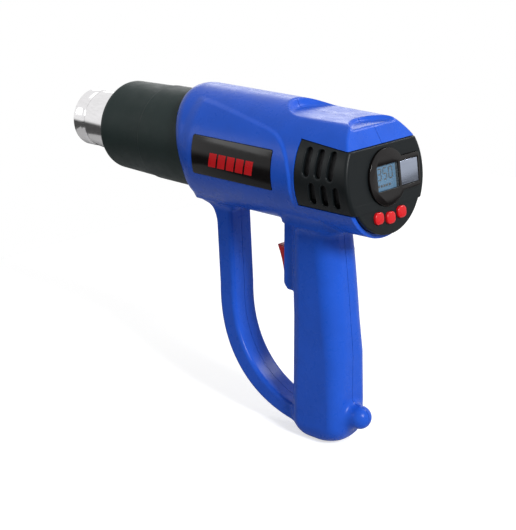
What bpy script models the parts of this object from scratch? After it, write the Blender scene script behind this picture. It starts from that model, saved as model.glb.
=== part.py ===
"""Hot air tool with a loop handle, as an assembly of separate pieces at real size.

The nozzle points to -X, the display to +X and the handle down. The origin is the middle of the
grip. Sizes below are in millimetres, and MM turns them into Blender's metres.
"""
import math

import bmesh
import bpy
from mathutils import Matrix, Vector

MM = 0.001

# Clearances
FIT = 0.3                    # between two pieces that seat on each other
PARTING = 0.15               # from the middle plane to the face of each body shell
RUNNING = 0.8                # between the fan and its shroud

# Barrel of the body, turned about the barrel axis
AXIS_Z = 80.0
BARREL_R = 35.0
REAR_TAPER = 0.6             # how much smaller its radius is at the rear
BARREL_REAR_R = BARREL_R - REAR_TAPER
WALL = 2.5
FRONT_X = -85.8              # where the front edge of the body reaches furthest back
FRONT_BOW = 0.056            # how fast the front edge comes forward above and below that place
FRONT_BOW_POWER = 1.5
FRONT_BOW_LOW = 10.0         # how far that place is below the axis
LIP_LENGTH = 8.0
TAPER_X = 4.0                # the barrel narrows behind this place
SHELL_REAR_X = 42.0
BEVEL_X = 32.0               # where the top slopes down to the rear cover
PANEL_RISE = 1.0             # side panel above the barrel
TOP_FLAT_H = 29.8            # heights above the barrel axis
TOP_STEP_H = 27.5
TOP_FLAT_FRONT_X = -25.0
TOP_STEP_FRONT_X = 19.5
TOP_FLAT_HALF = 19.5         # a little wider than where each flat meets the barrel
TOP_STEP_HALF = 22.5
TOP_FLAT_DRAFT = 4.5
CHORD_H = 20.2               # top edge of the rear cover, at its front
CHORD_REAR_H = 17.6          # and at its rear

# Handle and its loop
HANDLE_HALF_W = 15.0
HANDLE_CORNER = 11.0
HANDLE_CORNER_FALL = 3.5     # how much sharper the corners are near the bottom
HANDLE_BOTTOM_Z = -84.0
HEEL_X = 27.2
HEEL_Z = -66.2
HEEL_R = 6.9
STRUT_HALF_W = 9.5
STRUT_CORNER = 2.2
STRUT_LEAN = 0.06            # the straight part leans forward towards its top
LOOP_X = 5.0                 # centre of the loop's curve
LOOP_Z = -5.0
LOOP_OUT_A = 81.5
LOOP_OUT_B = 75.0
LOOP_IN_A = 69.2
LOOP_IN_B = 65.0
LOOP_POWER = 2.3             # a little squarer than an ellipse
STRUT_STEPS = 10

# Nozzle, guard and heater, all on the barrel axis
NOZZLE_TIP_X = -196.6
NOZZLE_TIP_R = 17.6
NOZZLE_BASE_R = 20.0
NOZZLE_WALL = 0.9
RIM_LENGTH = 8.5
TUBE_R = 21.4                # heater tube behind the cone
GUARD_FRONT_X = -163.0
GUARD_SET_IN = 5.5           # how far the guard's rear lies inside the barrel's surface
GUARD_REAR_R = BARREL_R - GUARD_SET_IN
GUARD_TAPER = 1.9
GUARD_SHOULDER_R = GUARD_REAR_R - GUARD_TAPER
GUARD_ROUND = 5.0            # rounding of the guard's front shoulder
GUARD_STEP_X = -125.0
GUARD_WALL = 2.2
GUARD_SEAT_X = -80.0         # front of the guard's flange
GUARD_FLANGE_R = GUARD_REAR_R + 2.3
GUARD_FLANGE_T = 2.3
TUBE_FLANGE_T = 1.0
COLLAR_T = 2.6
MICA_T = 0.8
HEATER_FRONT_X = -157.0
HEATER_REAR_X = -92.0
DISC_T = 2.5
CORE_T = 1.6
COIL_WIRE = 1.8
COIL_TURNS = 8

# Motor and fan
MOTOR_R = 17.9
MOTOR_FRONT_X = -58.0
MOTOR_LENGTH = 40.0
MOTOR_CAP_T = 4.0
CAN_T = 1.2
SHAFT_R = 1.6
BUSH_R = 4.0
BUSH_T = 4.0
ARMATURE_R = 11.5
MAGNET_T = 4.0
GUIDE_SLEEVE_T = 2.0
GUIDE_RING_T = 2.2
SHROUD_RIM = 1.5             # least height of the shroud's wall under the roof
FAN_R = TOP_STEP_H - WALL - FIT - RUNNING - SHROUD_RIM
FAN_T = 11.0
FAN_HUB_R = 8.0
FAN_BLADES = 7
FAN_X = -12.5                # front of the fan hub
SHROUD_T = 2.4

# Rear cover with the display
COVER_T = 2.4
COVER_FRONT_X = 5.0
COVER_LOW_H = -16.5          # lower edge of the side wings
COVER_TUCK = 6.0             # how far the chin's rim reaches into the shells
FACE_X = 42.0                # rear face on the barrel axis
FACE_TILT = math.radians(8.0)
VENT_W = 4.6
VENT_PITCH = 8.3
VENT_TALL = 15.6
VENT_LOW_TALL = 12.0
VENT_HIGH_H = 9.3
VENT_LOW_H = -7.4
FILTER_T = 0.9
LCD_W = 18.6
LCD_H = 14.0
BEZEL_R = BARREL_REAR_R - 18.4
BEZEL_T = 1.4
BEZEL_BAND = 9.5             # half height of the bezel's band towards the far side
BEZEL_REACH = BARREL_REAR_R - 5.9
PLATE_START = 11.2
PLATE_EDGE = 1.3             # bezel left beyond the plate
PLATE_W = BEZEL_REACH - PLATE_START - PLATE_EDGE
BUTTON_W = 7.4
BUTTON_H = 6.6
BUTTON_PITCH = 10.0
BUTTON_DROP = 11.8 - BARREL_REAR_R
BUTTON_SMILE = 1.4
BUTTON_PROUD = 1.6
BUTTON_TRAVEL = 0.8
BOARD_T = 1.6
BOARD_R = BARREL_REAR_R - WALL - COVER_T - 1.0
BOARD_HALF_TALL = 20.0
BOARD_MIDDLE = -6.5          # height of the board's middle on the rear face
BOARD_SETBACK = 6.4          # from the rear face to the board's rear side

# Side plates
LABEL_X0 = -72.0
LABEL_X1 = -11.0
LABEL_H = 1.0
LABEL_TALL = 22.5
LABEL_T = 0.8

# Switch in the front of the handle
PAD_X = -23.0                # front of the raised frame round the switch
PAD_HALF = 11.2
PAD_LOW_Z = 4.0
SWITCH_Z = 20.0
SWITCH_HALF_W = 8.2
SWITCH_HALF_Z = 13.0
SWITCH_DEPTH = 17.0
ROCKER_HALF_W = 6.9
ROCKER_HALF_Z = 11.5
ROCKER_REACH = 9.5           # from its pivot to its front
ROCKER_PIN_R = 1.5
ROCKER_TILT = math.radians(15.0)

# Electrics in the handle
PCB_X = -1.0
PCB_T = 1.6
PCB_TOP_Z = 2.0
PCB_LOW_Z = -42.0
SINK_DEPTH = 6.5
LEAD_R = 0.9
LEAD_Y = 6.0
LEAD_SLOT = 2.6              # how far outside the fan's opening the slot for the leads begins
GLAND_X = 2.0
GLAND_R = 5.2
GLAND_BORE_R = 3.6
SCREW_R = 1.4
SCREW_HEAD_R = 2.9
BOSS_R = 4.4
BUTT_Y = 7.5                 # depth of a screw's thread in the left shell

BARREL_SIDES = 36
ROUND = 28                   # sides of a large round piece
SMALL_ROUND = 10
WELD = 0.003                 # edges shorter than this are closed


# Materials
def material(name, colour, roughness, metallic=0.0):
    made = bpy.data.materials.new(name)
    made.use_nodes = True
    shader = made.node_tree.nodes["Principled BSDF"]
    shader.inputs["Base Color"].default_value = (*colour, 1.0)
    shader.inputs["Roughness"].default_value = roughness
    shader.inputs["Metallic"].default_value = metallic
    return made


for leftover in list(bpy.data.objects):
    bpy.data.objects.remove(leftover)

BLUE = material("blue_plastic", (0.015, 0.075, 0.62), 0.35)
BLACK = material("black_plastic", (0.018, 0.020, 0.019), 0.55)
GLOSS_BLACK = material("gloss_black_plastic", (0.010, 0.010, 0.012), 0.12)
RED = material("red_plastic", (0.80, 0.010, 0.012), 0.35)
STEEL = material("polished_steel", (0.62, 0.61, 0.63), 0.18, 1.0)
GREY_STEEL = material("zinc_steel", (0.45, 0.46, 0.48), 0.40, 1.0)
COPPER = material("copper", (0.80, 0.38, 0.20), 0.35, 1.0)
MICA = material("mica", (0.46, 0.42, 0.36), 0.60)
NYLON = material("natural_nylon", (0.70, 0.68, 0.62), 0.50)
BOARD_GREEN = material("board_green", (0.020, 0.16, 0.06), 0.45)
LCD_GREY = material("lcd_grey_green", (0.30, 0.40, 0.36), 0.30)
SMOKE = material("smoked_clear_plastic", (0.05, 0.06, 0.06), 0.06)
SILVER = material("silver_plate", (0.80, 0.80, 0.82), 0.20, 1.0)
RUBBER = material("black_rubber", (0.02, 0.02, 0.02), 0.80)
MAGNET = material("ferrite", (0.06, 0.06, 0.065), 0.70)

PARTS = bpy.data.collections.new("hot_air_tool")
bpy.context.scene.collection.children.link(PARTS)


# Building helpers
def place(name, mesh, surface):
    """Puts a mesh in the scene as a named object with its material."""
    made = bpy.data.objects.new(name, mesh)
    made.data.materials.clear()
    made.data.materials.append(surface)
    PARTS.objects.link(made)
    return made


def from_bmesh(name, bm, surface=BLUE):
    bmesh.ops.recalc_face_normals(bm, faces=bm.faces)
    mesh = bpy.data.meshes.new(name)
    bm.to_mesh(mesh)
    bm.free()
    return place(name, mesh, surface)


def settle(obj):
    """Applies an object's modifiers, welds loose caps and turns its faces outwards."""
    graph = bpy.context.evaluated_depsgraph_get()
    mesh = bpy.data.meshes.new_from_object(obj.evaluated_get(graph))
    bm = bmesh.new()
    bm.from_mesh(mesh)
    bmesh.ops.remove_doubles(bm, verts=bm.verts, dist=WELD * MM)
    bmesh.ops.recalc_face_normals(bm, faces=bm.faces)
    bm.to_mesh(mesh)
    bm.free()
    made = place(obj.name + "_settled", mesh, obj.data.materials[0])
    made.matrix_world = obj.matrix_world.copy()
    name = obj.name
    bpy.data.objects.remove(obj)
    made.name = name
    return made


def weld(mesh):
    """Closes edges that are too short to build."""
    bm = bmesh.new()
    bm.from_mesh(mesh)
    bmesh.ops.remove_doubles(bm, verts=bm.verts, dist=WELD * MM)
    bmesh.ops.dissolve_degenerate(bm, edges=bm.edges, dist=WELD * MM)
    bm.to_mesh(mesh)
    bm.free()


def boolean(obj, other, operation):
    """Applies one Boolean and removes the object that it used."""
    step = obj.modifiers.new(operation, "BOOLEAN")
    step.operation = operation
    step.solver = "EXACT"
    step.object = other
    bpy.context.view_layer.update()
    graph = bpy.context.evaluated_depsgraph_get()
    mesh = bpy.data.meshes.new_from_object(obj.evaluated_get(graph))
    weld(mesh)
    obj.modifiers.clear()
    obj.data = mesh
    bpy.data.objects.remove(other)
    return obj


def cut(obj, *cutters):
    for cutter in cutters:
        boolean(obj, cutter, "DIFFERENCE")
    return obj


def join(obj, *others):
    for other in others:
        boolean(obj, other, "UNION")
    return obj


def keep(obj, other):
    return boolean(obj, other, "INTERSECT")


def copy_of(obj, name):
    made = obj.copy()
    made.data = obj.data.copy()
    made.name = name
    PARTS.objects.link(made)
    return made


def mirrored(obj, name):
    """Returns a copy of an object on the other side of the middle plane."""
    bm = bmesh.new()
    bm.from_mesh(obj.data)
    bmesh.ops.transform(bm, matrix=Matrix.Scale(-1, 4, (0, 1, 0)) @ obj.matrix_world, verts=bm.verts)
    return from_bmesh(name, bm, obj.data.materials[0])


def finish(obj, name, surface, smooth_angle=35.0):
    """Names a piece, gives it its material and shades its round faces smooth."""
    obj.name = name
    obj.data.name = name
    obj.data.materials.clear()
    obj.data.materials.append(surface)
    obj.data.shade_smooth()
    obj.data.set_sharp_from_angle(angle=math.radians(smooth_angle))
    return obj


def box(x0, x1, y0, y1, z0, z1, name="box"):
    bm = bmesh.new()
    size = Vector((x1 - x0, y1 - y0, z1 - z0)) * MM
    middle = Vector((x0 + x1, y0 + y1, z0 + z1)) * MM / 2
    bmesh.ops.create_cube(bm, size=1.0, matrix=Matrix.Translation(middle) @ Matrix.Diagonal((*size, 1)))
    return from_bmesh(name, bm)


def rod(start, end, radius, end_radius=None, sides=SMALL_ROUND, name="rod"):
    """A round rod or cone between two points."""
    start = Vector(start) * MM
    end = Vector(end) * MM
    turn = Vector((0, 0, 1)).rotation_difference(end - start).to_matrix().to_4x4()
    bm = bmesh.new()
    bmesh.ops.create_cone(bm, cap_ends=True, segments=sides, radius1=radius * MM,
                          radius2=(radius if end_radius is None else end_radius) * MM,
                          depth=(end - start).length, matrix=Matrix.Translation((start + end) / 2) @ turn)
    return from_bmesh(name, bm)


def ball(centre, radius, name="ball"):
    bm = bmesh.new()
    bmesh.ops.create_uvsphere(bm, u_segments=16, v_segments=10, radius=radius * MM,
                              matrix=Matrix.Translation(Vector(centre) * MM))
    return from_bmesh(name, bm)


def turned(profile, sides=ROUND, closed=True, name="turned"):
    """Turns a profile of (x, radius) points about the barrel axis."""
    mesh = bpy.data.meshes.new(name)
    points = [(x * MM, 0.0, radius * MM) for x, radius in profile]
    edges = [(i, i + 1) for i in range(len(points) - 1)]
    if closed:
        edges.append((len(points) - 1, 0))
    mesh.from_pydata(points, edges, [])
    obj = place(name, mesh, BLUE)
    spin = obj.modifiers.new("Screw", "SCREW")
    spin.axis = "X"
    spin.steps = sides
    spin.render_steps = sides
    spin.use_merge_vertices = True
    spin.merge_threshold = 0.00001
    obj.location = (0, 0, AXIS_Z * MM)
    obj = settle(obj)
    obj.data.transform(obj.matrix_world)
    obj.matrix_world = Matrix.Identity(4)
    return obj


def solid_turned(profile, sides=ROUND, name="turned"):
    """A turned solid: the profile starts and ends on the axis."""
    return turned([(profile[0][0], 0.0), *profile, (profile[-1][0], 0.0)], sides, False, name)


def loft(sections, name="loft"):
    """A solid through rings of points that all have the same count."""
    bm = bmesh.new()
    rings = [[bm.verts.new(Vector(p) * MM) for p in section] for section in sections]
    count = len(rings[0])
    for low, high in zip(rings, rings[1:]):
        for i in range(count):
            j = (i + 1) % count
            bm.faces.new((low[i], low[j], high[j], high[i]))
    bm.faces.new(rings[0])
    bm.faces.new(rings[-1])
    return from_bmesh(name, bm)


def outline_solid(points, axis, start, end, name="outline"):
    """Extrudes a flat outline along Y or X: points are (x, z) or (y, z)."""
    def lifted(depth):
        if axis == "Y":
            return [(a, depth, b) for a, b in points]
        return [(depth, a, b) for a, b in points]
    return loft([lifted(start), lifted(end)], name)


def tube(points, radius, resolution=1, name="tube"):
    """A round wire or lead along a list of points."""
    curve = bpy.data.curves.new(name, "CURVE")
    curve.dimensions = "3D"
    curve.bevel_depth = radius * MM
    curve.bevel_resolution = resolution
    curve.use_fill_caps = True
    curve.render_resolution_u = 0
    spline = curve.splines.new("POLY")
    spline.points.add(len(points) - 1)
    for target, point in zip(spline.points, points):
        target.co = (*(Vector(point) * MM), 1.0)
    obj = bpy.data.objects.new(name, curve)
    curve.materials.append(BLUE)
    PARTS.objects.link(obj)
    return settle(obj)


def smooth_path(knots, steps):
    """Points on a smooth curve through the knots, by Catmull and Rom's rule."""
    knots = [Vector(k) for k in knots]
    padded = [2 * knots[0] - knots[1], *knots, 2 * knots[-1] - knots[-2]]
    points = []
    for a, b, c, d in zip(padded, padded[1:], padded[2:], padded[3:]):
        for i in range(steps):
            t = i / steps
            points.append(0.5 * (2 * b + (c - a) * t + (2 * a - 5 * b + 4 * c - d) * t ** 2
                                 + (3 * b - a - 3 * c + d) * t ** 3))
    points.append(knots[-1])
    return points


def rounded_rectangle(half_a, half_b, corner, per_corner=3):
    """Points of a rounded rectangle about (0, 0), counter-clockwise."""
    corner = min(corner, half_a * 0.98, half_b * 0.98)
    points = []
    for quarter in range(4):
        sign_a = (1, -1, -1, 1)[quarter]
        sign_b = (1, 1, -1, -1)[quarter]
        for i in range(per_corner + 1):
            angle = math.radians(90 * quarter + 90 * i / per_corner)
            points.append((sign_a * (half_a - corner) + corner * math.cos(angle),
                           sign_b * (half_b - corner) + corner * math.sin(angle)))
    return points


def arc(centre, radius, start, end, steps):
    """Points on an arc, its angles in degrees."""
    points = []
    for i in range(steps + 1):
        angle = math.radians(start + (end - start) * i / steps)
        points.append((centre[0] + radius * math.cos(angle), centre[1] + radius * math.sin(angle)))
    return points


def barrel_radius(x):
    """Outer radius of the barrel at a place along it."""
    if x <= TAPER_X:
        return BARREL_R
    return BARREL_R + (BARREL_REAR_R - BARREL_R) * (x - TAPER_X) / (SHELL_REAR_X - TAPER_X)


def face_x(height):
    """The rear face leans: its X at a height above the barrel axis."""
    return FACE_X - height * math.tan(FACE_TILT)


FACE_OUT = Vector((math.cos(FACE_TILT), 0, math.sin(FACE_TILT)))
FACE_UP = Vector((-math.sin(FACE_TILT), 0, math.cos(FACE_TILT)))


def on_face(across, height, depth):
    """A point given across and up the rear face, and out of it."""
    origin = Vector((FACE_X, 0, AXIS_Z))
    return origin + Vector((0, across, 0)) + FACE_UP * height + FACE_OUT * depth


def face_solid(outline, depth_in, depth_out, name="face_solid"):
    """Extrudes an outline of (across, up) points square to the leaning rear face."""
    return loft([[on_face(a, h, depth_in) for a, h in outline],
                 [on_face(a, h, depth_out) for a, h in outline]], name)


# Outer form of the body
def bowed_front(obj):
    """Draws the front rings back along the concave front edge."""
    limit = (FRONT_X + LIP_LENGTH + 1.0) * MM
    lip_r = GUARD_REAR_R + FIT
    for vert in obj.data.vertices:
        height = vert.co.z / MM - AXIS_Z
        radius = math.hypot(vert.co.y / MM, height)
        if vert.co.x < limit and radius > 0.5 * lip_r:
            up = lip_r * height / radius
            bow = FRONT_BOW * abs(up + FRONT_BOW_LOW) ** FRONT_BOW_POWER
            vert.co.x -= bow * MM
    return obj


def barrel_solid():
    lip_r = GUARD_REAR_R + FIT + 0.8
    lip = [(FRONT_X + LIP_LENGTH * (1 - math.cos(math.radians(a))),
            lip_r + (BARREL_R - lip_r) * math.sin(math.radians(a))) for a in (0, 18, 36, 54, 72, 90)]
    profile = [*lip, (TAPER_X, BARREL_R), (SHELL_REAR_X, BARREL_REAR_R)]
    return bowed_front(solid_turned(profile, BARREL_SIDES, "barrel"))


def side_panel():
    """Raised field round the side plate, on one side, in side view."""
    low = AXIS_Z - 15.0
    high = AXIS_Z + 29.0
    outline = [(-78.0, low), (2.0, low), (2.4, AXIS_Z - 2), (0.6, AXIS_Z + 5.5), (-3.3, AXIS_Z + 12.9),
               (-9.4, AXIS_Z + 18.5), (-19.9, AXIS_Z + 22.3), (-41.0, AXIS_Z + 25.5), (-64.0, high),
               (-78.0, high - 6.0)]
    field = outline_solid(outline, "Y", -BARREL_R - 5, -10, "field")
    ring = turned([(-84, BARREL_R - 3), (-78, BARREL_R + PANEL_RISE), (3, BARREL_R + PANEL_RISE),
                   (3, BARREL_R - 3)], BARREL_SIDES)
    return keep(field, ring)


def stadium(front_x, rear_x, half, z, steps=10):
    """A level outline with a half-round front and a square rear."""
    points = [(front_x + half - half * math.cos(math.radians(a)), half * math.sin(math.radians(a)), z)
              for a in [-90 + 180 * i / steps for i in range(steps + 1)]]
    return [*points, (rear_x, half, z), (rear_x, -half, z)]


def top_cutter(front_x, rear_x, half, height, draft):
    top = BARREL_R + 3
    low = stadium(front_x + draft, rear_x, half, AXIS_Z + height)
    high = stadium(front_x, rear_x, half + draft * 0.5, AXIS_Z + top)
    return loft([low, high], "top_cutter")


def rear_bevel(inset):
    """What the slope behind the top flats takes away, set back by the wall for the inside."""
    start = Vector((BEVEL_X - inset * 1.4, AXIS_Z + TOP_STEP_H + 0.5))
    fall = Vector((face_x(CHORD_REAR_H) - 1.0 - BEVEL_X, CHORD_REAR_H - TOP_STEP_H - 0.5))
    high = start - fall * 3
    low = start + fall * 3
    return outline_solid([high, (low.x, high.y), low], "Y", -60, 60, "rear_bevel")


def handle_section(z):
    """Front and rear of the handle at a height: it leans back and is narrower near its top."""
    front = -18.0 + 3.3 * min(1.0, max(0.0, (16.0 - z) / 80.0))
    rear = 12.4 + 8.9 * min(1.0, max(0.0, (42.0 - z) / 72.0)) ** 0.8
    return front, rear


HANDLE_LEVELS = [-84, -82.5, -79, -73, -60, -40, -18, 4, 22, 34, 38, 41, 44, 48, 58]


def flare(z, radius, foot):
    """Growth of a section as it meets the barrel with a fillet."""
    rise = z - (foot - radius)
    if rise <= 0:
        return 0.0
    rise = min(rise, radius)
    return radius - math.sqrt(radius ** 2 - rise ** 2)


def handle_solid(inset=0.0):
    rings = []
    foot = AXIS_Z - BARREL_R + 2.5
    for z in HANDLE_LEVELS:
        front, rear = handle_section(z)
        round_off = 0.0
        if z < -73:
            drop = (-73 - z) / 11.0
            round_off = 9.0 * (1 - math.sqrt(max(0.0, 1 - drop ** 2)))
        front = front - flare(z, 5.0, foot) + round_off * 0.4 + inset
        rear = rear + flare(z, 10.0, foot) - round_off - inset
        half = HANDLE_HALF_W + flare(z, 7.0, foot) - round_off * 0.8 - inset
        level = max(z, HANDLE_BOTTOM_Z + inset)
        fall = HANDLE_CORNER_FALL * min(1.0, max(0.0, (-10.0 - z) / 50.0))
        corner = max(1.0, HANDLE_CORNER - fall - inset - round_off * 0.3)
        middle = (front + rear) / 2
        level_z = level if z > HANDLE_BOTTOM_Z else HANDLE_BOTTOM_Z + inset
        rings.append([(middle + a, b, level_z + 0.01 * len(rings))
                      for a, b in rounded_rectangle((rear - front) / 2, half, corner)])
    return loft(rings, "handle")


def loop_point(a, b, angle):
    """A point of the loop's curve, from 180 degrees at its front to 270 at its bottom."""
    c = math.cos(math.radians(angle))
    s = math.sin(math.radians(angle))
    power = 2.0 / LOOP_POWER
    return Vector((LOOP_X - a * abs(c) ** power, 0, LOOP_Z - b * abs(s) ** power))


def strut_solid(inset=0.0):
    """The front strut: nearly straight down from the barrel, then curving back into the handle."""
    rings = []
    foot = AXIS_Z - BARREL_R + 4.0
    for z in (60.0, 50.0, 46.0, 43.0, 40.0, 36.0, 31.0, 24.0, 10.0):
        lean = STRUT_LEAN * (z - LOOP_Z)
        front = LOOP_X - LOOP_OUT_A - lean - min(flare(z, 18.0, foot + 1), 7.6) + inset
        rear = LOOP_X - LOOP_IN_A - lean + flare(z, 2.5, foot - 6) - inset
        middle = (front + rear) / 2
        half_w = STRUT_HALF_W + flare(z, 8.0, foot) - inset
        rings.append([(middle + a, b, z) for a, b in
                      rounded_rectangle((rear - front) / 2, half_w, max(0.6, STRUT_CORNER - inset), 2)])
    for step in range(STRUT_STEPS + 1):
        angle = 180 + 90 * step / STRUT_STEPS
        outer = loop_point(LOOP_OUT_A, LOOP_OUT_B, angle)
        inner = loop_point(LOOP_IN_A, LOOP_IN_B, angle)
        across = (inner - outer).normalized()
        middle = (outer + inner) / 2
        half_t = (inner - outer).length / 2 - inset
        rings.append([middle + across * a + Vector((0, b, 0)) for a, b in
                      rounded_rectangle(half_t, STRUT_HALF_W - inset, max(0.6, STRUT_CORNER - inset), 2)])
    return loft(rings, "strut")


def switch_pad():
    """Raised frame on the handle's front, ending in a rounded step below the switch."""
    outline = [(-6, 48), (PAD_X, 48), (PAD_X, PAD_LOW_Z + 5), (PAD_X + 1.0, PAD_LOW_Z + 2.0),
               (PAD_X + 3.2, PAD_LOW_Z), (-6, PAD_LOW_Z - 3)]
    return outline_solid(outline, "Y", -PAD_HALF, PAD_HALF, "pad")


def body_outer():
    body = barrel_solid()
    left_panel = side_panel()
    join(body, mirrored(left_panel, "right_panel"), left_panel)
    cut(body,
        top_cutter(TOP_FLAT_FRONT_X, SHELL_REAR_X + 5, TOP_FLAT_HALF, TOP_FLAT_H, TOP_FLAT_DRAFT),
        top_cutter(TOP_STEP_FRONT_X, SHELL_REAR_X + 5, TOP_STEP_HALF, TOP_STEP_H, 2.5),
        rear_bevel(0.0))
    join(body, handle_solid(), strut_solid(), switch_pad())
    join(body, ball((HEEL_X, 0, HEEL_Z), HEEL_R), rod((12, 0, HEEL_Z - 2), (HEEL_X, 0, HEEL_Z), 8.5, HEEL_R))
    return body


# Inner form of the body
GROOVE_R = GUARD_FLANGE_R + FIT
GROOVE_X0 = GUARD_SEAT_X - FIT
GROOVE_X1 = GUARD_SEAT_X + GUARD_FLANGE_T + FIT + TUBE_FLANGE_T + FIT
CAVITY_X = GROOVE_X1 + COLLAR_T
INNER_R = BARREL_R - WALL
SCREW_INSET = 7.0            # from the barrel's surface to its screws, in side view
SCREWS = [(-70.0, AXIS_Z - BARREL_R + SCREW_INSET), (-70.0, AXIS_Z + BARREL_R - SCREW_INSET),
          (24.0, AXIS_Z - BARREL_R + SCREW_INSET + 4.0), (8.5, 30.0), (14.0, -50.0), (-30.0, -70.3)]
BEYOND = 20.0                # how far a cutter reaches past what it cuts


def barrel_cavity():
    collar_r = TUBE_R + FIT
    profile = [(-140, GUARD_REAR_R + FIT), (GROOVE_X0, GUARD_REAR_R + FIT), (GROOVE_X0, GROOVE_R),
               (GROOVE_X1, GROOVE_R), (GROOVE_X1, collar_r), (CAVITY_X, collar_r), (CAVITY_X, INNER_R),
               (TAPER_X, INNER_R), (SHELL_REAR_X + 6, barrel_radius(SHELL_REAR_X + 6) - WALL)]
    room = solid_turned(profile, BARREL_SIDES, "room")
    roof = box(TOP_FLAT_FRONT_X - 2, SHELL_REAR_X + 20, -40, 40, AXIS_Z + TOP_STEP_H - WALL, AXIS_Z + 60)
    return cut(room, roof, rear_bevel(WALL))


def body_cavity():
    """The hollow inside both shells; bosses are left out of it, so they stay as material."""
    room = barrel_cavity()
    join(room, handle_solid(WALL), strut_solid(WALL))
    for x, z in SCREWS:
        cut(room, rod((x, -40, z), (x, 40, z), BOSS_R, name="boss"))
    return room


def wing_side(x0, x1, low, gap, name="wing_side"):
    """Side view of the rear cover's wings, whose top edge slopes down to the rear."""
    fall = (CHORD_H - CHORD_REAR_H) / (FACE_X - COVER_FRONT_X)
    high0 = AXIS_Z + CHORD_H + gap - fall * (x0 - COVER_FRONT_X)
    high1 = AXIS_Z + CHORD_H + gap - fall * (x1 - COVER_FRONT_X)
    return outline_solid([(x0, low), (x1, low), (x1, high1), (x0, high0)], "Y", -60, 60, name)


def shell_openings(body):
    """Cuts what passes through both shells: the rear cover's place, the switch and the cord inlet."""
    cut(body, wing_side(COVER_FRONT_X - FIT, SHELL_REAR_X + 9, AXIS_Z + COVER_LOW_H - FIT, FIT))
    cut(body, box(PAD_X - 5, PAD_X + SWITCH_DEPTH + FIT, -SWITCH_HALF_W - FIT, SWITCH_HALF_W + FIT,
                  SWITCH_Z - SWITCH_HALF_Z - FIT, SWITCH_Z + SWITCH_HALF_Z + FIT, "switch_place"))
    cut(body, rod(GLAND_START, GLAND_END, GLAND_R + FIT, name="inlet"))
    return body


GLAND_START = (GLAND_X, 0, HANDLE_BOTTOM_Z - 10.0)
GLAND_END = (GLAND_X, 0, HANDLE_BOTTOM_Z + 12.0)


def label_place(side):
    """The shallow recess of a side plate."""
    recess_r = BARREL_R + PANEL_RISE - LABEL_T
    ring = turned([(LABEL_X0 - FIT, recess_r), (LABEL_X0 - FIT, recess_r + 8), (LABEL_X1 + FIT, recess_r + 8),
                   (LABEL_X1 + FIT, recess_r)], BARREL_SIDES)
    half = LABEL_TALL / 2 + FIT
    window = box(LABEL_X0 - 1, LABEL_X1 + 1, min(side * 20, side * 60), max(side * 20, side * 60),
                 AXIS_Z + LABEL_H - half, AXIS_Z + LABEL_H + half)
    return keep(ring, window)


def screw_seat_y(x, z):
    """How far out a shell screw's head lies, for a barrel, strut or handle screw."""
    height = abs(z - AXIS_Z)
    if z > AXIS_Z - BARREL_R:
        return math.sqrt((barrel_radius(x) - 5.0) ** 2 - height ** 2) - 2.0
    if x < -20:
        return STRUT_HALF_W - 3.6
    return HANDLE_HALF_W - 4.5


def body_shells():
    body = body_outer()
    cut(body, body_cavity())
    shell_openings(body)
    left = copy_of(body, "left")
    right = body
    keep(left, box(-250, 90, -60, -PARTING, -120, 140))
    keep(right, box(-250, 90, PARTING, 60, -120, 140))
    cut(left, label_place(-1))
    cut(right, label_place(1))
    for x, z in SCREWS:
        seat = screw_seat_y(x, z)
        bore = rod((x, -BUTT_Y - FIT, z), (x, 60, z), SCREW_R + FIT, name="bore")
        cut(left, copy_of(bore, "bore_left"))
        cut(right, bore, rod((x, seat, z), (x, 60, z), SCREW_HEAD_R + FIT, name="head_place"))
        head = rod((x, seat + FIT, z), (x, seat + FIT + 2.0, z), SCREW_HEAD_R)
        shank = rod((x, -BUTT_Y, z), (x, seat + FIT + 1.0, z), SCREW_R)
        join(head, shank)
        drive = seat + FIT + 1.1
        for wide, tall in ((1.7, 0.35), (0.35, 1.7)):
            cut(head, box(x - wide, x + wide, drive, drive + 3, z - tall, z + tall))
        finish(head, f"shell_screw_{SCREWS.index((x, z)) + 1}", GREY_STEEL)
    finish(left, "body_shell_left", BLUE, 28.0)
    finish(right, "body_shell_right", BLUE, 28.0)


# Nozzle, guard and heater
def nozzle_tube():
    tip = NOZZLE_TIP_X
    rim = tip + RIM_LENGTH
    band = NOZZLE_TIP_R + 0.5
    outer = [(tip, NOZZLE_TIP_R - 0.3), (tip + 0.7, band - 0.1), (tip + 2.0, band), (rim - 0.8, band),
             (rim, NOZZLE_TIP_R - 0.4), (rim + 1.3, NOZZLE_TIP_R - 0.4), (rim + 2.0, NOZZLE_TIP_R + 0.3),
             (GUARD_FRONT_X, NOZZLE_BASE_R - 0.3), (HEATER_FRONT_X - 2.2, NOZZLE_BASE_R),
             (HEATER_FRONT_X - 1.2, TUBE_R)]
    rear = GUARD_SEAT_X + GUARD_FLANGE_T + FIT
    flange = [(rear, TUBE_R), (rear, GUARD_FLANGE_R), (rear + TUBE_FLANGE_T, GUARD_FLANGE_R),
              (rear + TUBE_FLANGE_T, TUBE_R - NOZZLE_WALL)]
    inner = [(HEATER_FRONT_X - 0.4, TUBE_R - NOZZLE_WALL), (HEATER_FRONT_X - 1.4, NOZZLE_BASE_R - NOZZLE_WALL),
             (GUARD_FRONT_X, NOZZLE_BASE_R - 0.3 - NOZZLE_WALL), (rim + 2.0, NOZZLE_TIP_R - 0.6),
             (rim, NOZZLE_TIP_R - 1.3), (tip, NOZZLE_TIP_R - 1.3)]
    return finish(turned(outer + flange + inner, name="nozzle"), "nozzle_tube", STEEL)


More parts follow.
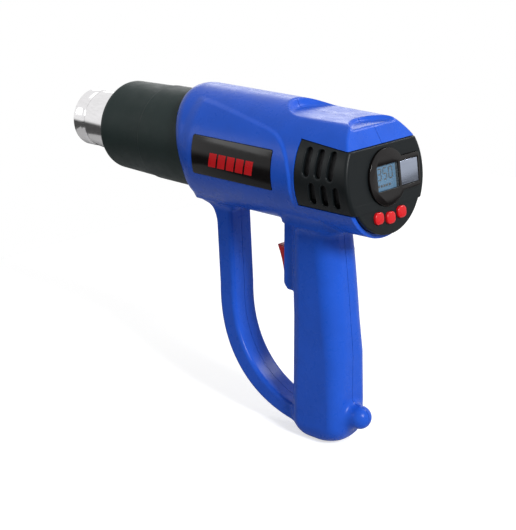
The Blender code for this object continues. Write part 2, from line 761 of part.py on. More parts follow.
def heat_guard():
    front = GUARD_FRONT_X
    bore = NOZZLE_BASE_R + RUNNING
    shoulder_round = min(GUARD_ROUND, GUARD_SHOULDER_R - bore - 0.5)
    shoulder_r = GUARD_SHOULDER_R - shoulder_round
    shoulder = [(front + shoulder_round - x, r) for x, r in arc((0, shoulder_r), shoulder_round, 0, 90, 4)]
    step_x = GUARD_STEP_X
    step_r = GUARD_SHOULDER_R + GUARD_TAPER * 0.45
    outer = [(front, bore), *shoulder, (step_x - 0.6, step_r), (step_x, step_r + 0.5),
             (GUARD_SEAT_X, GUARD_REAR_R), (GUARD_SEAT_X, GUARD_FLANGE_R),
             (GUARD_SEAT_X + GUARD_FLANGE_T, GUARD_FLANGE_R)]
    inner = [(GUARD_SEAT_X + GUARD_FLANGE_T, GUARD_REAR_R - GUARD_WALL), (step_x, step_r - GUARD_WALL + 0.4),
             (front + 6.0, GUARD_SHOULDER_R - GUARD_WALL), (front + 3.0, shoulder_r),
             (front + GUARD_WALL, bore)]
    return finish(turned(outer + inner, name="guard"), "heat_guard", BLACK)


TUBE_BORE = TUBE_R - NOZZLE_WALL
MICA_OUT = TUBE_BORE - FIT
MICA_IN = MICA_OUT - MICA_T
CORE_REACH = 13.8
COIL_R = CORE_REACH + 0.5 + COIL_WIRE / 2
COIL_SIDES = 8


def heater():
    """Insulating sleeve, cross-shaped core, coil and the two discs that hold the core."""
    sleeve = turned([(HEATER_FRONT_X, MICA_IN), (HEATER_FRONT_X, MICA_OUT), (HEATER_REAR_X, MICA_OUT),
                     (HEATER_REAR_X, MICA_IN)])
    finish(sleeve, "mica_sleeve", MICA)
    core_x0 = HEATER_FRONT_X + DISC_T + FIT
    core_x1 = HEATER_REAR_X - DISC_T - FIT
    core = box(core_x0, core_x1, -CORE_REACH, CORE_REACH, AXIS_Z - CORE_T / 2, AXIS_Z + CORE_T / 2)
    join(core, box(core_x0, core_x1, -CORE_T / 2, CORE_T / 2, AXIS_Z - CORE_REACH, AXIS_Z + CORE_REACH))
    finish(core, "heater_core", MICA)
    points = []
    coil_x0 = core_x0 + 3.0
    coil_x1 = core_x1 - 3.0
    count = COIL_TURNS * COIL_SIDES
    for i in range(count + 1):
        angle = 2 * math.pi * i / COIL_SIDES
        points.append((coil_x0 + (coil_x1 - coil_x0) * i / count, COIL_R * math.sin(angle),
                       AXIS_Z + COIL_R * math.cos(angle)))
    finish(tube(points, COIL_WIRE / 2, 0), "heating_coil", GREY_STEEL)
    for name, x0 in (("outlet_grille", HEATER_FRONT_X), ("heater_base", HEATER_REAR_X - DISC_T)):
        disc = rod((x0, 0, AXIS_Z), (x0 + DISC_T, 0, AXIS_Z), MICA_IN - FIT, sides=ROUND)
        for hole in range(8):
            angle = math.radians(22.5 + 45 * hole)
            y = 12.5 * math.sin(angle)
            z = AXIS_Z + 12.5 * math.cos(angle)
            cut(disc, rod((x0 - 1, y, z), (x0 + DISC_T + 1, y, z), 3.4, sides=8))
        finish(disc, name, MICA)


def heater_sensors():
    """Thermocouple by the outlet and the cut-out on the heater base."""
    y = CORE_T / 2 + FIT + 0.6
    bead_x = HEATER_FRONT_X + DISC_T + 1.0
    finish(tube([(bead_x, y, AXIS_Z + 5.0), (HEATER_REAR_X - DISC_T - FIT, y, AXIS_Z + 5.0)], 0.6, 1),
           "thermocouple", GREY_STEEL)
    cutout_x = HEATER_REAR_X + FIT
    body = box(cutout_x, cutout_x + 5.5, -6, 6, AXIS_Z - 4.5, AXIS_Z + 4.5)
    for y in (-3.5, 3.5):
        join(body, box(cutout_x + 5, cutout_x + 10, y - 1.2, y + 1.2, AXIS_Z - 0.4, AXIS_Z + 0.4))
    finish(body, "thermal_cutout", NYLON)


# Motor, its holder and the fan
MOTOR_REAR_X = MOTOR_FRONT_X + MOTOR_LENGTH
SLEEVE_IN = MOTOR_R + FIT


def motor():
    cap_x = MOTOR_FRONT_X + MOTOR_CAP_T
    bush_in = BUSH_R + FIT
    can = turned([(cap_x + FIT, MOTOR_R - CAN_T), (cap_x + FIT, MOTOR_R), (MOTOR_REAR_X, MOTOR_R),
                  (MOTOR_REAR_X, bush_in), (MOTOR_REAR_X - CAN_T, bush_in), (MOTOR_REAR_X - CAN_T, MOTOR_R - CAN_T)])
    finish(can, "motor_can", GREY_STEEL)
    cap = turned([(MOTOR_FRONT_X, bush_in), (MOTOR_FRONT_X, MOTOR_R), (cap_x, MOTOR_R), (cap_x, bush_in)])
    join(cap, box(MOTOR_FRONT_X - 5, MOTOR_FRONT_X + 1, -11.5, -10.7, AXIS_Z - 2, AXIS_Z + 2),
         box(MOTOR_FRONT_X - 5, MOTOR_FRONT_X + 1, 10.7, 11.5, AXIS_Z - 2, AXIS_Z + 2))
    finish(cap, "motor_end_cap", NYLON)
    bush_bore = SHAFT_R + FIT
    for name, x0 in (("front_bush", MOTOR_FRONT_X), ("rear_bush", MOTOR_REAR_X - BUSH_T)):
        bush = turned([(x0, bush_bore), (x0, BUSH_R), (x0 + BUSH_T, BUSH_R), (x0 + BUSH_T, bush_bore)], 24)
        finish(bush, name, COPPER)
    inner_x0 = cap_x + FIT + 2.0
    inner_x1 = MOTOR_REAR_X - CAN_T - 6.0
    magnet_out = MOTOR_R - CAN_T - FIT
    for name, sign in (("magnet_left", -1), ("magnet_right", 1)):
        ring = turned([(inner_x0, magnet_out - MAGNET_T), (inner_x0, magnet_out), (inner_x1, magnet_out),
                       (inner_x1, magnet_out - MAGNET_T)])
        keep(ring, box(inner_x0 - 1, inner_x1 + 1, min(sign * 3, sign * 30), max(sign * 3, sign * 30),
                       AXIS_Z - 30, AXIS_Z + 30))
        finish(ring, name, MAGNET)


def rotor():
    """Shaft, armature, commutator and fan, which turn together."""
    shaft = rod((MOTOR_FRONT_X - 2, 0, AXIS_Z), (FAN_X + FAN_T + 1.5, 0, AXIS_Z), SHAFT_R)
    finish(shaft, "motor_shaft", STEEL)
    seat = SHAFT_R + FIT
    magnet_in = MOTOR_R - CAN_T - FIT - MAGNET_T
    reach = min(ARMATURE_R, magnet_in - 0.5)
    x0 = MOTOR_FRONT_X + MOTOR_CAP_T + 6.0
    x1 = MOTOR_REAR_X - BUSH_T - 3.0
    armature = turned([(x0, seat), (x0, reach), (x1, reach), (x1, seat)], 36)
    for slot in range(5):
        angle = math.radians(72 * slot)
        y = reach * math.sin(angle)
        z = AXIS_Z + reach * math.cos(angle)
        cut(armature, rod((x0 - 1, y, z), (x1 + 1, y, z), 2.2, sides=8))
    finish(armature, "armature", COPPER)
    x0 = MOTOR_FRONT_X + MOTOR_CAP_T + 0.6
    commutator = turned([(x0, seat), (x0, 4.6), (x0 + 4.6, 4.6), (x0 + 4.6, seat)], 24)
    finish(commutator, "commutator", COPPER)
    hub = turned([(FAN_X, seat), (FAN_X, FAN_HUB_R), (FAN_X + FAN_T, FAN_HUB_R - 1.5), (FAN_X + FAN_T, seat)], 36)
    for blade in range(FAN_BLADES):
        plate = box(-0.7, 0.7, -5.0, 5.0, FAN_HUB_R - 2.0, FAN_R, "blade")
        twist = Matrix.Rotation(math.radians(48), 4, "Z")
        turn = Matrix.Rotation(math.radians(360 / FAN_BLADES * blade), 4, "X")
        centre = Matrix.Translation(Vector((FAN_X + FAN_T / 2, 0, AXIS_Z)) * MM)
        plate.data.transform(centre @ turn @ twist)
        join(hub, plate)
    finish(hub, "fan_impeller", NYLON)


def above_roof():
    """All that lies above the flat roof inside the shells."""
    return box(-80, 60, -60, 60, AXIS_Z + TOP_STEP_H - WALL - FIT, AXIS_Z + 60)


def air_guide():
    """Holder that centres the motor in the barrel and lets the air past it."""
    x0 = MOTOR_FRONT_X + 8
    x1 = MOTOR_REAR_X + 1.0
    ring_out = INNER_R - FIT
    ring = turned([(x0, ring_out - GUIDE_RING_T), (x0, ring_out), (x1, ring_out), (x1, ring_out - GUIDE_RING_T)])
    sleeve = turned([(x0, SLEEVE_IN), (x0, SLEEVE_IN + GUIDE_SLEEVE_T), (x1, SLEEVE_IN + GUIDE_SLEEVE_T),
                     (x1, SLEEVE_IN)])
    reach = ring_out - 0.6
    for vane in range(6):
        plate = box(x0 + 4, x1 - 1, -0.9, 0.9, SLEEVE_IN + 0.8, reach, "vane")
        turn = Matrix.Rotation(math.radians(30 + 60 * vane), 4, "X")
        plate.data.transform(Matrix.Translation(Vector((0, 0, AXIS_Z)) * MM) @ turn)
        join(ring, plate)
    join(ring, sleeve)
    cut(ring, box(x0 - 1, x1 + 1, -8, 8, AXIS_Z - ring_out - 2, AXIS_Z - SLEEVE_IN - GUIDE_SLEEVE_T - 1),
        above_roof())
    finish(ring, "air_guide", BLACK)
    shroud_in = FAN_R + RUNNING
    x0 = MOTOR_REAR_X + 1.0 + FIT
    shroud = turned([(x0, INNER_R - FIT - SHROUD_T), (x0, INNER_R - FIT), (TAPER_X - 0.5, INNER_R - FIT),
                     (TAPER_X - 0.5, shroud_in + 1.5), (TAPER_X - 3.5, shroud_in), (x0 + 4.5, shroud_in)])
    lead_slot = box(x0 - 1, -4, -LEAD_Y - 2, LEAD_Y + 2, AXIS_Z - 40, AXIS_Z - shroud_in - LEAD_SLOT)
    cut(shroud, above_roof(), lead_slot)
    finish(shroud, "fan_shroud", BLACK)


# Rear cover and display
def sheared_cylinder(radius_front, radius_rear, x0, setback):
    """A cylinder along the barrel whose rear end leans like the rear face."""
    solid = solid_turned([(x0, radius_front), (FACE_X + BEYOND, radius_rear)], BARREL_SIDES, "cover_core")
    for vert in solid.data.vertices:
        if vert.co.x > FACE_X * MM:
            height = vert.co.z / MM - AXIS_Z
            vert.co.x = (face_x(height) - setback) * MM
    return solid


def vent_outline(x, height, tall, width=VENT_W):
    """A slot with round ends, in side view."""
    reach = tall / 2 - width / 2
    top = arc((x, AXIS_Z + height + reach), width / 2, 0, 180, 4)
    return [*top, *arc((x, AXIS_Z + height - reach), width / 2, 180, 360, 4)]


VENTS = [(COVER_FRONT_X + 8.0 + VENT_PITCH * i, VENT_HIGH_H, VENT_TALL) for i in range(3)]
VENTS += [(COVER_FRONT_X + 8.0 + VENT_PITCH * (i + 0.5), VENT_LOW_H, VENT_LOW_TALL) for i in range(3)]


def button_place(index):
    """Where a button sits on the rear face: across and up."""
    across = (index - 1) * BUTTON_PITCH
    return across, BUTTON_DROP + BUTTON_SMILE * abs(index - 1)


def bezel_outline(grow=0.0):
    """Round on the left of the display and a band towards the right."""
    band = BEZEL_BAND + grow
    radius = BEZEL_R + grow
    start = math.degrees(math.asin(band / radius))
    ring = arc((0, 0), radius, start, 360 - start, 20)
    return [*ring, (BEZEL_REACH + grow, -band), (BEZEL_REACH + grow, band)]


def rectangle(across, up, width, tall):
    return [(across - width / 2, up - tall / 2), (across + width / 2, up - tall / 2),
            (across + width / 2, up + tall / 2), (across - width / 2, up + tall / 2)]


def button_outline(index, grow=0.0):
    across, up = button_place(index)
    return [(across + a, up + b) for a, b in
            rounded_rectangle(BUTTON_W / 2 + grow, BUTTON_H / 2 + grow, 2.6 + grow, 3)]


def rear_cover():
    front_r = barrel_radius(COVER_FRONT_X)
    rear_r = barrel_radius(FACE_X)
    chin_r = barrel_radius(SHELL_REAR_X) - WALL - FIT
    shell = sheared_cylinder(front_r - 0.3, rear_r - 0.3, COVER_FRONT_X, 0.0)
    keep(shell, wing_side(COVER_FRONT_X, 90, AXIS_Z + COVER_LOW_H, 0.0))
    chin = sheared_cylinder(chin_r, chin_r, SHELL_REAR_X - COVER_TUCK, 0.0)
    keep(chin, box(0, 90, -60, 60, AXIS_Z - 60, AXIS_Z + COVER_LOW_H + 5))
    join(shell, chin)
    hollow = sheared_cylinder(front_r - 0.3 - COVER_T, rear_r - 0.3 - COVER_T, COVER_FRONT_X - 3, COVER_T)
    keep(hollow, box(-20, 90, -60, 60, AXIS_Z + COVER_LOW_H - 0.5, AXIS_Z + 60))
    cut(shell, hollow, sheared_cylinder(chin_r - COVER_T, chin_r - COVER_T, COVER_FRONT_X - 3, COVER_T + 0.02))
    for x, height, tall in VENTS:
        cut(shell, outline_solid(vent_outline(x, height, tall), "Y", -60, 60, "vent"))
    cut(shell, face_solid(bezel_outline(FIT), -1.0, 8.0))
    cut(shell, face_solid(rectangle(0, 0, LCD_W + 1.0, LCD_H + 1.0), -8, 8))
    for index in range(3):
        cut(shell, face_solid(button_outline(index, FIT), -8, 8))
    for sign in (-1, 1):
        post = rod(on_face(sign * 22, -4, -COVER_T + 0.5), on_face(sign * 22, -4, -BOARD_SETBACK + FIT + BOARD_T), 3.0)
        cut(post, rod(on_face(sign * 22, -4, -BOARD_SETBACK - 1), on_face(sign * 22, -4, -COVER_T - 0.4), SCREW_R))
        join(shell, post)
    finish(shell, "rear_cover", BLACK)


def display():
    bezel = face_solid(bezel_outline(), -1.0 + FIT, BEZEL_T)
    cut(bezel, face_solid(rectangle(0, 0, LCD_W, LCD_H), -5, 5),
        face_solid(rectangle(PLATE_START + PLATE_W / 2, 0, PLATE_W, LCD_H), 0.2, 5))
    finish(bezel, "display_bezel", GLOSS_BLACK)
    window = face_solid(rectangle(0, 0, LCD_W - 2 * FIT, LCD_H - 2 * FIT), -1.0 + FIT, BEZEL_T - 0.3)
    finish(window, "display_window", SMOKE)
    plate = face_solid(rectangle(PLATE_START + PLATE_W / 2, 0, PLATE_W - 2 * FIT, LCD_H - 2 * FIT),
                       0.2 + FIT, BEZEL_T - 0.2)
    finish(plate, "display_side_plate", SILVER)
    panel = face_solid(rectangle(0, 0, LCD_W + 0.4, LCD_H + 0.4), -3.2, -1.0)
    finish(panel, "lcd_panel", LCD_GREY)
    frame_out = -3.2 - FIT
    frame = face_solid(rectangle(0, 0, LCD_W + 3, LCD_H + 3), -BOARD_SETBACK + BOARD_T + FIT - 0.1, frame_out)
    finish(frame, "lcd_holder", NYLON)


def display_board():
    low = -BOARD_SETBACK
    disc = face_solid(arc((0, 0), BOARD_R, 5, 365, 36)[:-1], low, low + BOARD_T - 0.1)
    keep(disc, face_solid(rectangle(0, BOARD_MIDDLE, 4 * BOARD_R, 2 * BOARD_HALF_TALL), low - 3, low + 4))
    for sign in (-1, 1):
        cut(disc, rod(on_face(sign * 22, -4, low - 4), on_face(sign * 22, -4, low + 6), SCREW_R + FIT))
        screw = rod(on_face(sign * 22, -4, low - FIT), on_face(sign * 22, -4, low - FIT - 1.6), 2.6)
        join(screw, rod(on_face(sign * 22, -4, low - 1.0), on_face(sign * 22, -4, low + BOARD_T + 1.4), SCREW_R - FIT))
        finish(screw, "board_screw_left" if sign < 0 else "board_screw_right", GREY_STEEL)
    finish(disc, "display_board", BOARD_GREEN)


def buttons():
    """Three push buttons, each on its own small switch."""
    names = ("button_down", "button_mode", "button_up")
    switch_top = -BOARD_SETBACK + BOARD_T + 1.4
    for index, name in enumerate(names):
        across, up = button_place(index)
        levels = ((1.0, -COVER_T + 0.2), (1.0, BUTTON_PROUD - 0.6), (0.8, BUTTON_PROUD))
        cap = loft([[on_face(across + (a - across) * s, up + (h - up) * s, d)
                     for a, h in button_outline(index)] for s, d in levels])
        stem = rod(on_face(across, up, switch_top + BUTTON_TRAVEL + FIT), on_face(across, up, 0), 1.5)
        join(cap, stem)
        finish(cap, name, RED)
        low = -BOARD_SETBACK + BOARD_T + FIT - 0.1
        tact = face_solid(rectangle(across, up, 5.0, 4.5), low, switch_top)
        finish(tact, f"tact_switch_{index + 1}", BLACK)


def intake_filters():
    """Fine screens behind the vents, one on each side."""
    low = AXIS_Z + COVER_LOW_H + 1
    high = AXIS_Z + CHORD_REAR_H - 0.6
    for name, sign in (("intake_screen_left", -1), ("intake_screen_right", 1)):
        x0 = COVER_FRONT_X + 1.5
        x1 = FACE_X - 6.4
        out0 = barrel_radius(x0) - 0.3 - COVER_T - FIT
        out1 = barrel_radius(x1) - 0.3 - COVER_T - FIT
        ring = turned([(x0, out0 - FILTER_T), (x0, out0), (x1, out1), (x1, out1 - FILTER_T)], BARREL_SIDES)
        beside = sorted((sign * BEYOND / 2, sign * 60))
        keep(ring, box(x0 - 1, x1 + 1, *beside, low, high))
        finish(ring, name, GREY_STEEL)


def label_plates():
    """Bare black plates in the recesses of the raised side panels."""
    base = BARREL_R + PANEL_RISE - LABEL_T + FIT
    for name, sign in (("side_plate_left", -1), ("side_plate_right", 1)):
        ring = turned([(LABEL_X0, base), (LABEL_X0, base + LABEL_T), (LABEL_X1, base + LABEL_T),
                       (LABEL_X1, base)], BARREL_SIDES)
        keep(ring, box(LABEL_X0 - 1, LABEL_X1 + 1, min(sign * 20, sign * 60), max(sign * 20, sign * 60),
                       AXIS_Z + LABEL_H - LABEL_TALL / 2, AXIS_Z + LABEL_H + LABEL_TALL / 2))
        finish(ring, name, GLOSS_BLACK)


# Switch
PIVOT_X = PAD_X + 3.5
SWITCH_FRONT_X = PAD_X + 1.0


def rocker_outline():
    """Side view of the rocker in its rest position: upper half out, lower half nearly flush."""
    points = []
    back = 3.6
    outline = [(1.2 - ROCKER_REACH, 0.0), (-ROCKER_REACH, ROCKER_HALF_Z), (back, ROCKER_HALF_Z * 0.52),
               (back, -ROCKER_HALF_Z * 0.52), (-ROCKER_REACH, -ROCKER_HALF_Z)]
    for a, b in outline:
        points.append((PIVOT_X + a * math.cos(ROCKER_TILT) - b * math.sin(ROCKER_TILT),
                       SWITCH_Z + a * math.sin(ROCKER_TILT) + b * math.cos(ROCKER_TILT)))
    return points


def switch():
    rocker = outline_solid(rocker_outline(), "Y", -ROCKER_HALF_W, ROCKER_HALF_W)
    pin_reach = ROCKER_HALF_W + FIT + 1.0
    join(rocker, rod((PIVOT_X, -pin_reach, SWITCH_Z), (PIVOT_X, pin_reach, SWITCH_Z), ROCKER_PIN_R))
    finish(rocker, "switch_rocker", RED)
    body = box(SWITCH_FRONT_X, PAD_X + SWITCH_DEPTH, -SWITCH_HALF_W, SWITCH_HALF_W,
               SWITCH_Z - SWITCH_HALF_Z, SWITCH_Z + SWITCH_HALF_Z)
    pocket_z = ROCKER_HALF_Z + 0.6
    cut(body, box(PAD_X - 5, PAD_X + 9.2, -ROCKER_HALF_W - FIT, ROCKER_HALF_W + FIT,
                  SWITCH_Z - pocket_z, SWITCH_Z + pocket_z))
    cut(body, rod((PIVOT_X, -pin_reach - FIT, SWITCH_Z), (PIVOT_X, pin_reach + FIT, SWITCH_Z), ROCKER_PIN_R + FIT))
    for z in (SWITCH_Z - 8, SWITCH_Z, SWITCH_Z + 8):
        join(body, box(PAD_X + SWITCH_DEPTH - 1, PAD_X + SWITCH_DEPTH + 5, -2.4, 2.4, z - 0.4, z + 0.4))
    finish(body, "switch_body", BLACK)


# Electrics in the handle
def control_board():
    half = HANDLE_HALF_W - WALL - FIT
    board = box(PCB_X, PCB_X + PCB_T, -half, half, PCB_LOW_Z, PCB_TOP_Z)
    finish(board, "control_board", BOARD_GREEN)
    face = PCB_X + PCB_T + FIT
    sink_low = PCB_LOW_Z + 20
    sink_high = PCB_TOP_Z - 3
    sink = box(face, face + 2.0, -8, 8, sink_low, sink_high)
    for fin in range(4):
        y = -6.6 + 4.4 * fin
        join(sink, box(face + 1, face + SINK_DEPTH, y - 0.7, y + 0.7, sink_low, sink_high))
    finish(sink, "heat_sink", SILVER)
    finish(rod((face, 0, PCB_LOW_Z + 8), (face + 7.5, 0, PCB_LOW_Z + 8), 5.0), "smoothing_capacitor", BLACK)
    front = PCB_X - FIT
    finish(box(front - 8.5, front, -7.5, 7.5, PCB_LOW_Z + 12, PCB_LOW_Z + 25), "interference_capacitor", NYLON)
    finish(box(front - 4.5, front, -5, 5, PCB_LOW_Z + 30, PCB_LOW_Z + 40), "triac", BLACK)


def cord_entry():
    """Terminal block, clamp and the inlet bush in the handle's bottom; the cord itself is absent."""
    top = PCB_LOW_Z - FIT
    half = HANDLE_HALF_W - WALL - FIT
    block = box(-7, 9, -half, half, top - 9, top)
    for y in (-7.5, 0, 7.5):
        cut(block, rod((-9, y, top - 5), (11, y, top - 5), 2.0))
    finish(block, "terminal_block", NYLON)
    bar_z = top - 9 - FIT - 4
    clamp = box(GLAND_X - 7, GLAND_X + 7, -half, half, bar_z - 3, bar_z + 4)
    cut(clamp, rod((GLAND_X, 0, bar_z - 5), (GLAND_X, 0, bar_z + 6), GLAND_BORE_R))
    finish(clamp, "cord_clamp", BLACK)
    low = HANDLE_BOTTOM_Z - 0.6
    seat = HANDLE_BOTTOM_Z + WALL + FIT
    gland = rod((GLAND_X, 0, low), (GLAND_X, 0, bar_z - 3 - FIT), GLAND_R, sides=20)
    join(gland, rod((GLAND_X, 0, seat), (GLAND_X, 0, seat + 2.0), GLAND_R + 1.6, sides=20))
    cut(gland, rod((GLAND_X, 0, low - 2), (GLAND_X, 0, 0), GLAND_BORE_R, sides=20))
    finish(gland, "cord_inlet_bush", RUBBER)


def leads():
    """Supply leads from the board past the motor to the heater, and the motor's own pair."""
    sleeve_r = SLEEVE_IN + GUIDE_SLEEVE_T
    past_fan = max(INNER_R - 3.3, FAN_R + RUNNING + LEAD_SLOT + LEAD_R + FIT)
    for name, side in (("heater_lead_left", -1), ("heater_lead_right", 1)):
        y = side * LEAD_Y
        knots = [(HEATER_REAR_X + FIT, y, AXIS_Z - 9), (-84, y, AXIS_Z - 11), (-72, y, AXIS_Z - 18),
                 (-60, y, AXIS_Z - sleeve_r - 2.3), (-40, y, AXIS_Z - sleeve_r - 4.3), (-15, y, AXIS_Z - past_fan),
                 (-8.5, y, AXIS_Z - 33), (-3, y, AXIS_Z - 40), (0.4, y, AXIS_Z - 50),
                 (PCB_X + PCB_T / 2 + 0.4, y, PCB_TOP_Z + 8), (PCB_X + PCB_T / 2, y, PCB_TOP_Z + FIT)]
        finish(tube(smooth_path(knots, 2), LEAD_R, 1), name, RED if side > 0 else RUBBER)


body_shells()
nozzle_tube()
heat_guard()
heater()
heater_sensors()
motor()
rotor()
air_guide()
rear_cover()
display()
display_board()
buttons()
intake_filters()
label_plates()
switch()
control_board()
cord_entry()
leads()
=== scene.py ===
"""Looks of the hot air tool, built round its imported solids.

The nozzle points to -X, the display to +X and the handle down. The object's lengths are in
millimetres, and MM turns them into Blender's metres. A height on the barrel is given from its axis.
"""
import math

import bmesh
import bpy
import numpy as np
from mathutils import Matrix, Vector

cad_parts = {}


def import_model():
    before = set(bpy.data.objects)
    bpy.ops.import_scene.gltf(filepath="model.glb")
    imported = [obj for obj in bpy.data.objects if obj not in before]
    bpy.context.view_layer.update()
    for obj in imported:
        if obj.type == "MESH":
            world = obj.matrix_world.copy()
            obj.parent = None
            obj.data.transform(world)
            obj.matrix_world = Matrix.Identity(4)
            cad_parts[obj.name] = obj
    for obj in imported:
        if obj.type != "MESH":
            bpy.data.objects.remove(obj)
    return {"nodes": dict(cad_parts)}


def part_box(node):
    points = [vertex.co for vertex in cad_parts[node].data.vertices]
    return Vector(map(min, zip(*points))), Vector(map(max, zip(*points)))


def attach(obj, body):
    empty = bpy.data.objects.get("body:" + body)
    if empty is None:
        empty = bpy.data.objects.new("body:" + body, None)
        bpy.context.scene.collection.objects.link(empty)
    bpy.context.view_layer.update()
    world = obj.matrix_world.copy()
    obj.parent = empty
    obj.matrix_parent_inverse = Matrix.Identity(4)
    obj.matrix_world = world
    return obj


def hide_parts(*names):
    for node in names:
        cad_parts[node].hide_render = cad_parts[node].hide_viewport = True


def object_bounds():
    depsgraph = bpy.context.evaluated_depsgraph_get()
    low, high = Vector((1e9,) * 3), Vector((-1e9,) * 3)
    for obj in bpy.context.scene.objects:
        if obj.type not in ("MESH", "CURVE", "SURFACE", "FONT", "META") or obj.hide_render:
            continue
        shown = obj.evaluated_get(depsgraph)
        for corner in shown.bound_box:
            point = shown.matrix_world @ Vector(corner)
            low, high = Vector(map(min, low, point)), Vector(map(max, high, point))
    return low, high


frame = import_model()
cad_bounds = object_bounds()

MM = 0.001


def span(node):
    """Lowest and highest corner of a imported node."""
    low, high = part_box(node)
    return Vector(low) / MM, Vector(high) / MM


nozzle_low, nozzle_high = span("nozzle_tube")
guard_low, guard_high = span("heat_guard")
shell_low = span("body_shell_left")[0]
cover_high = span("rear_cover")[1]
plate_low, plate_high = span("side_plate_left")
gland_low, gland_high = span("cord_inlet_bush")

# Fit of the pieces
FIT = 0.3
PARTING = 0.005              # half the gap between the shells
SEAM_HALF_W = 0.13           # the groove along their seam
SEAM_DEPTH = 0.8
WALL = 2.5

# Barrel
AXIS_Z = (nozzle_low.z + nozzle_high.z) / 2
BARREL_R = 35.0
BARREL_REAR_R = 34.4
LIP_R = 30.6
LIP_LENGTH = 8.0
FRONT_X = -85.8              # the most forward place of the front
FRONT_BOW = 0.056            # how fast the front falls back from there
FRONT_BOW_POWER = 1.5
FRONT_BOW_LOW = 10.0         # how far that place is below the axis
TAPER_X = 4.0                # the barrel narrows behind this place
REAR_X = 42.0
REAR_EDGE = 0.8
FACE_TILT = math.radians(8.0)
CHORD_H = 20.2               # top edge of the rear cover, at its front
CHORD_REAR_H = 17.6          # and at its rear

# Raised side panels, with their crease as (x, height) points
PANEL_RISE = 1.0
PANEL_EDGE = 1.8
PANEL_CREASE = [(-100, 32.0), (-64, 28.6), (-41, 25.5), (-20, 22.3), (-13.3, 20.5), (-9.4, 18.5),
                (-6.0, 15.9), (-3.3, 12.9), (-0.9, 9.3), (0.6, 5.5), (1.8, 2.0), (2.4, -1.5),
                (2.6, -60), (-100, -60)]
PANEL_FRONT_FADE = (-84.0, -74.5)
PANEL_LOW_FADE = (-25.0, -7.0)
PANEL_TOP = BARREL_R + PANEL_RISE
MAP_STEP = 0.25
MAP_X = (-100.0, 12.0)
MAP_HEIGHT = (-45.0, 45.0)

# Flats on the top, and the slope behind them
TOP_FLAT_H = 29.8
TOP_STEP_H = 27.5
TOP_FLAT_FRONT_X = -25.0
TOP_STEP_FRONT_X = 19.5
TOP_FLAT_HALF = 19.5
TOP_STEP_HALF = 22.5
TOP_FLAT_DRAFT = 4.5
TOP_STEP_DRAFT = 2.5
TOP_FLAT_EDGE = 1.2
TOP_STEP_EDGE = 0.9
TOP_CUT_ROUND = 2.2
BEVEL_X = 32.0
BEVEL_RISE = 0.5             # how far the slope starts above the second flat
BEVEL_SHORT = 1.0            # how far ahead of the rear face it ends
BEVEL_EDGE = 1.2

# Handle
HANDLE_BOTTOM_Z = -84.0
HANDLE_TOP_Z = 58.0
HANDLE_HALF_W = 15.0
HANDLE_CORNER = 11.0
HANDLE_CORNER_FALL = 3.5     # how much smaller the corners get on the way down
CORNER_FALL_Z = -10.0        # where they start to get smaller
CORNER_FALL_RUN = 50.0
HANDLE_FRONT = (-18.0, 3.3, 16.0, 80.0)        # place, lean, and the lean's start and length
HANDLE_REAR = (12.4, 8.9, 42.0, 72.0, 0.8)     # the same, and the power of the lean
FOOT_Z = AXIS_Z - BARREL_R + 2.5
FOOT_FRONT = 2.5             # fillets where the handle meets the barrel
FOOT_REAR = 10.0
FOOT_SIDE = 7.0
BOTTOM_ROUND = 11.0
BOTTOM_INSET = 9.0
BOTTOM_EDGE = 1.5

# Strut and its loop
STRUT_HALF_W = 9.5
STRUT_CORNER = 2.4
STRUT_LEAN = 0.06
STRUT_TOP_Z = 60.0
STRUT_FOOT_Z = AXIS_Z - BARREL_R + 4.0
STRUT_FOOT_FRONT = 18.0      # fillets where the strut meets the barrel
STRUT_FOOT_CAP = 7.6
STRUT_FOOT_REAR = 2.5
STRUT_FOOT_SIDE = 8.0
LOOP_X = 5.0
LOOP_Z = -5.0
LOOP_OUT = (81.5, 75.0)
LOOP_IN = (69.2, 65.0)
LOOP_POWER = 2.3

# Heel, switch frame and screws
HEEL = Vector((27.2, 0.0, -66.2))
HEEL_R = 6.9
HEEL_ROOT = Vector((12.0, 0.0, -68.2))
HEEL_ROOT_R = 8.5
PAD_X = -23.0
PAD_REAR_X = -6.0
PAD_HALF = 11.2
PAD_LOW_Z = 4.0
PAD_TOP_Z = 48.0
PAD_STEP = 1.6
PAD_EDGE = 1.6
SCREWS = [(-70.0, AXIS_Z - 28.0), (-70.0, AXIS_Z + 28.0), (24.0, AXIS_Z - 24.0), (8.5, 30.0), (14.0, -50.0),
          (-30.0, -70.3)]
BOSS_R = 4.4

# Blends between the body's parts
HANDLE_BLEND = 3.0
STRUT_BLEND = 4.5
PAD_BLEND = 0.8
HEEL_BLEND = 5.0
HOLLOW_BLEND = 2.0

# Side plates, rear cover, display and switch
PLATE_T = 0.8
PLATE_CORNER = 0.9
COVER_X = 5.0
COVER_LOW_H = -16.5
COVER_T = 2.4
FACE_ROUND = 2.2
VENT_W = 4.6
VENT_PITCH = 8.3
# Each vent's place along the barrel, its height and its length
VENTS = [(COVER_X + 8.0 + VENT_PITCH * i, 9.3, 15.6) for i in range(3)]
VENTS += [(COVER_X + 8.0 + VENT_PITCH * (i + 0.5), -7.4, 12.0) for i in range(3)]
LCD_W = 18.6
LCD_H = 14.0
LCD_DEPTH = -1.0
BEZEL_R = 16.0
BEZEL_T = 1.4
BEZEL_BAND = 9.5
BEZEL_REACH = 28.5
BEZEL_CORNER = 1.5
BEZEL_SEAT = -0.7
PLATE_START = 11.2
PLATE_W = 16.0
BUTTON_W = 7.4
BUTTON_H = 6.6
BUTTON_CORNER = 2.6
BUTTON_PITCH = 10.0
BUTTON_DROP = -22.6
BUTTON_SMILE = 1.4
SWITCH_Z = 20.0
SWITCH_HALF_W = 8.2
SWITCH_HALF_Z = 13.0
SWITCH_DEPTH = 17.0
GLAND_X = 2.0
GLAND_R = 5.2
SCREW_HEAD_R = 2.9

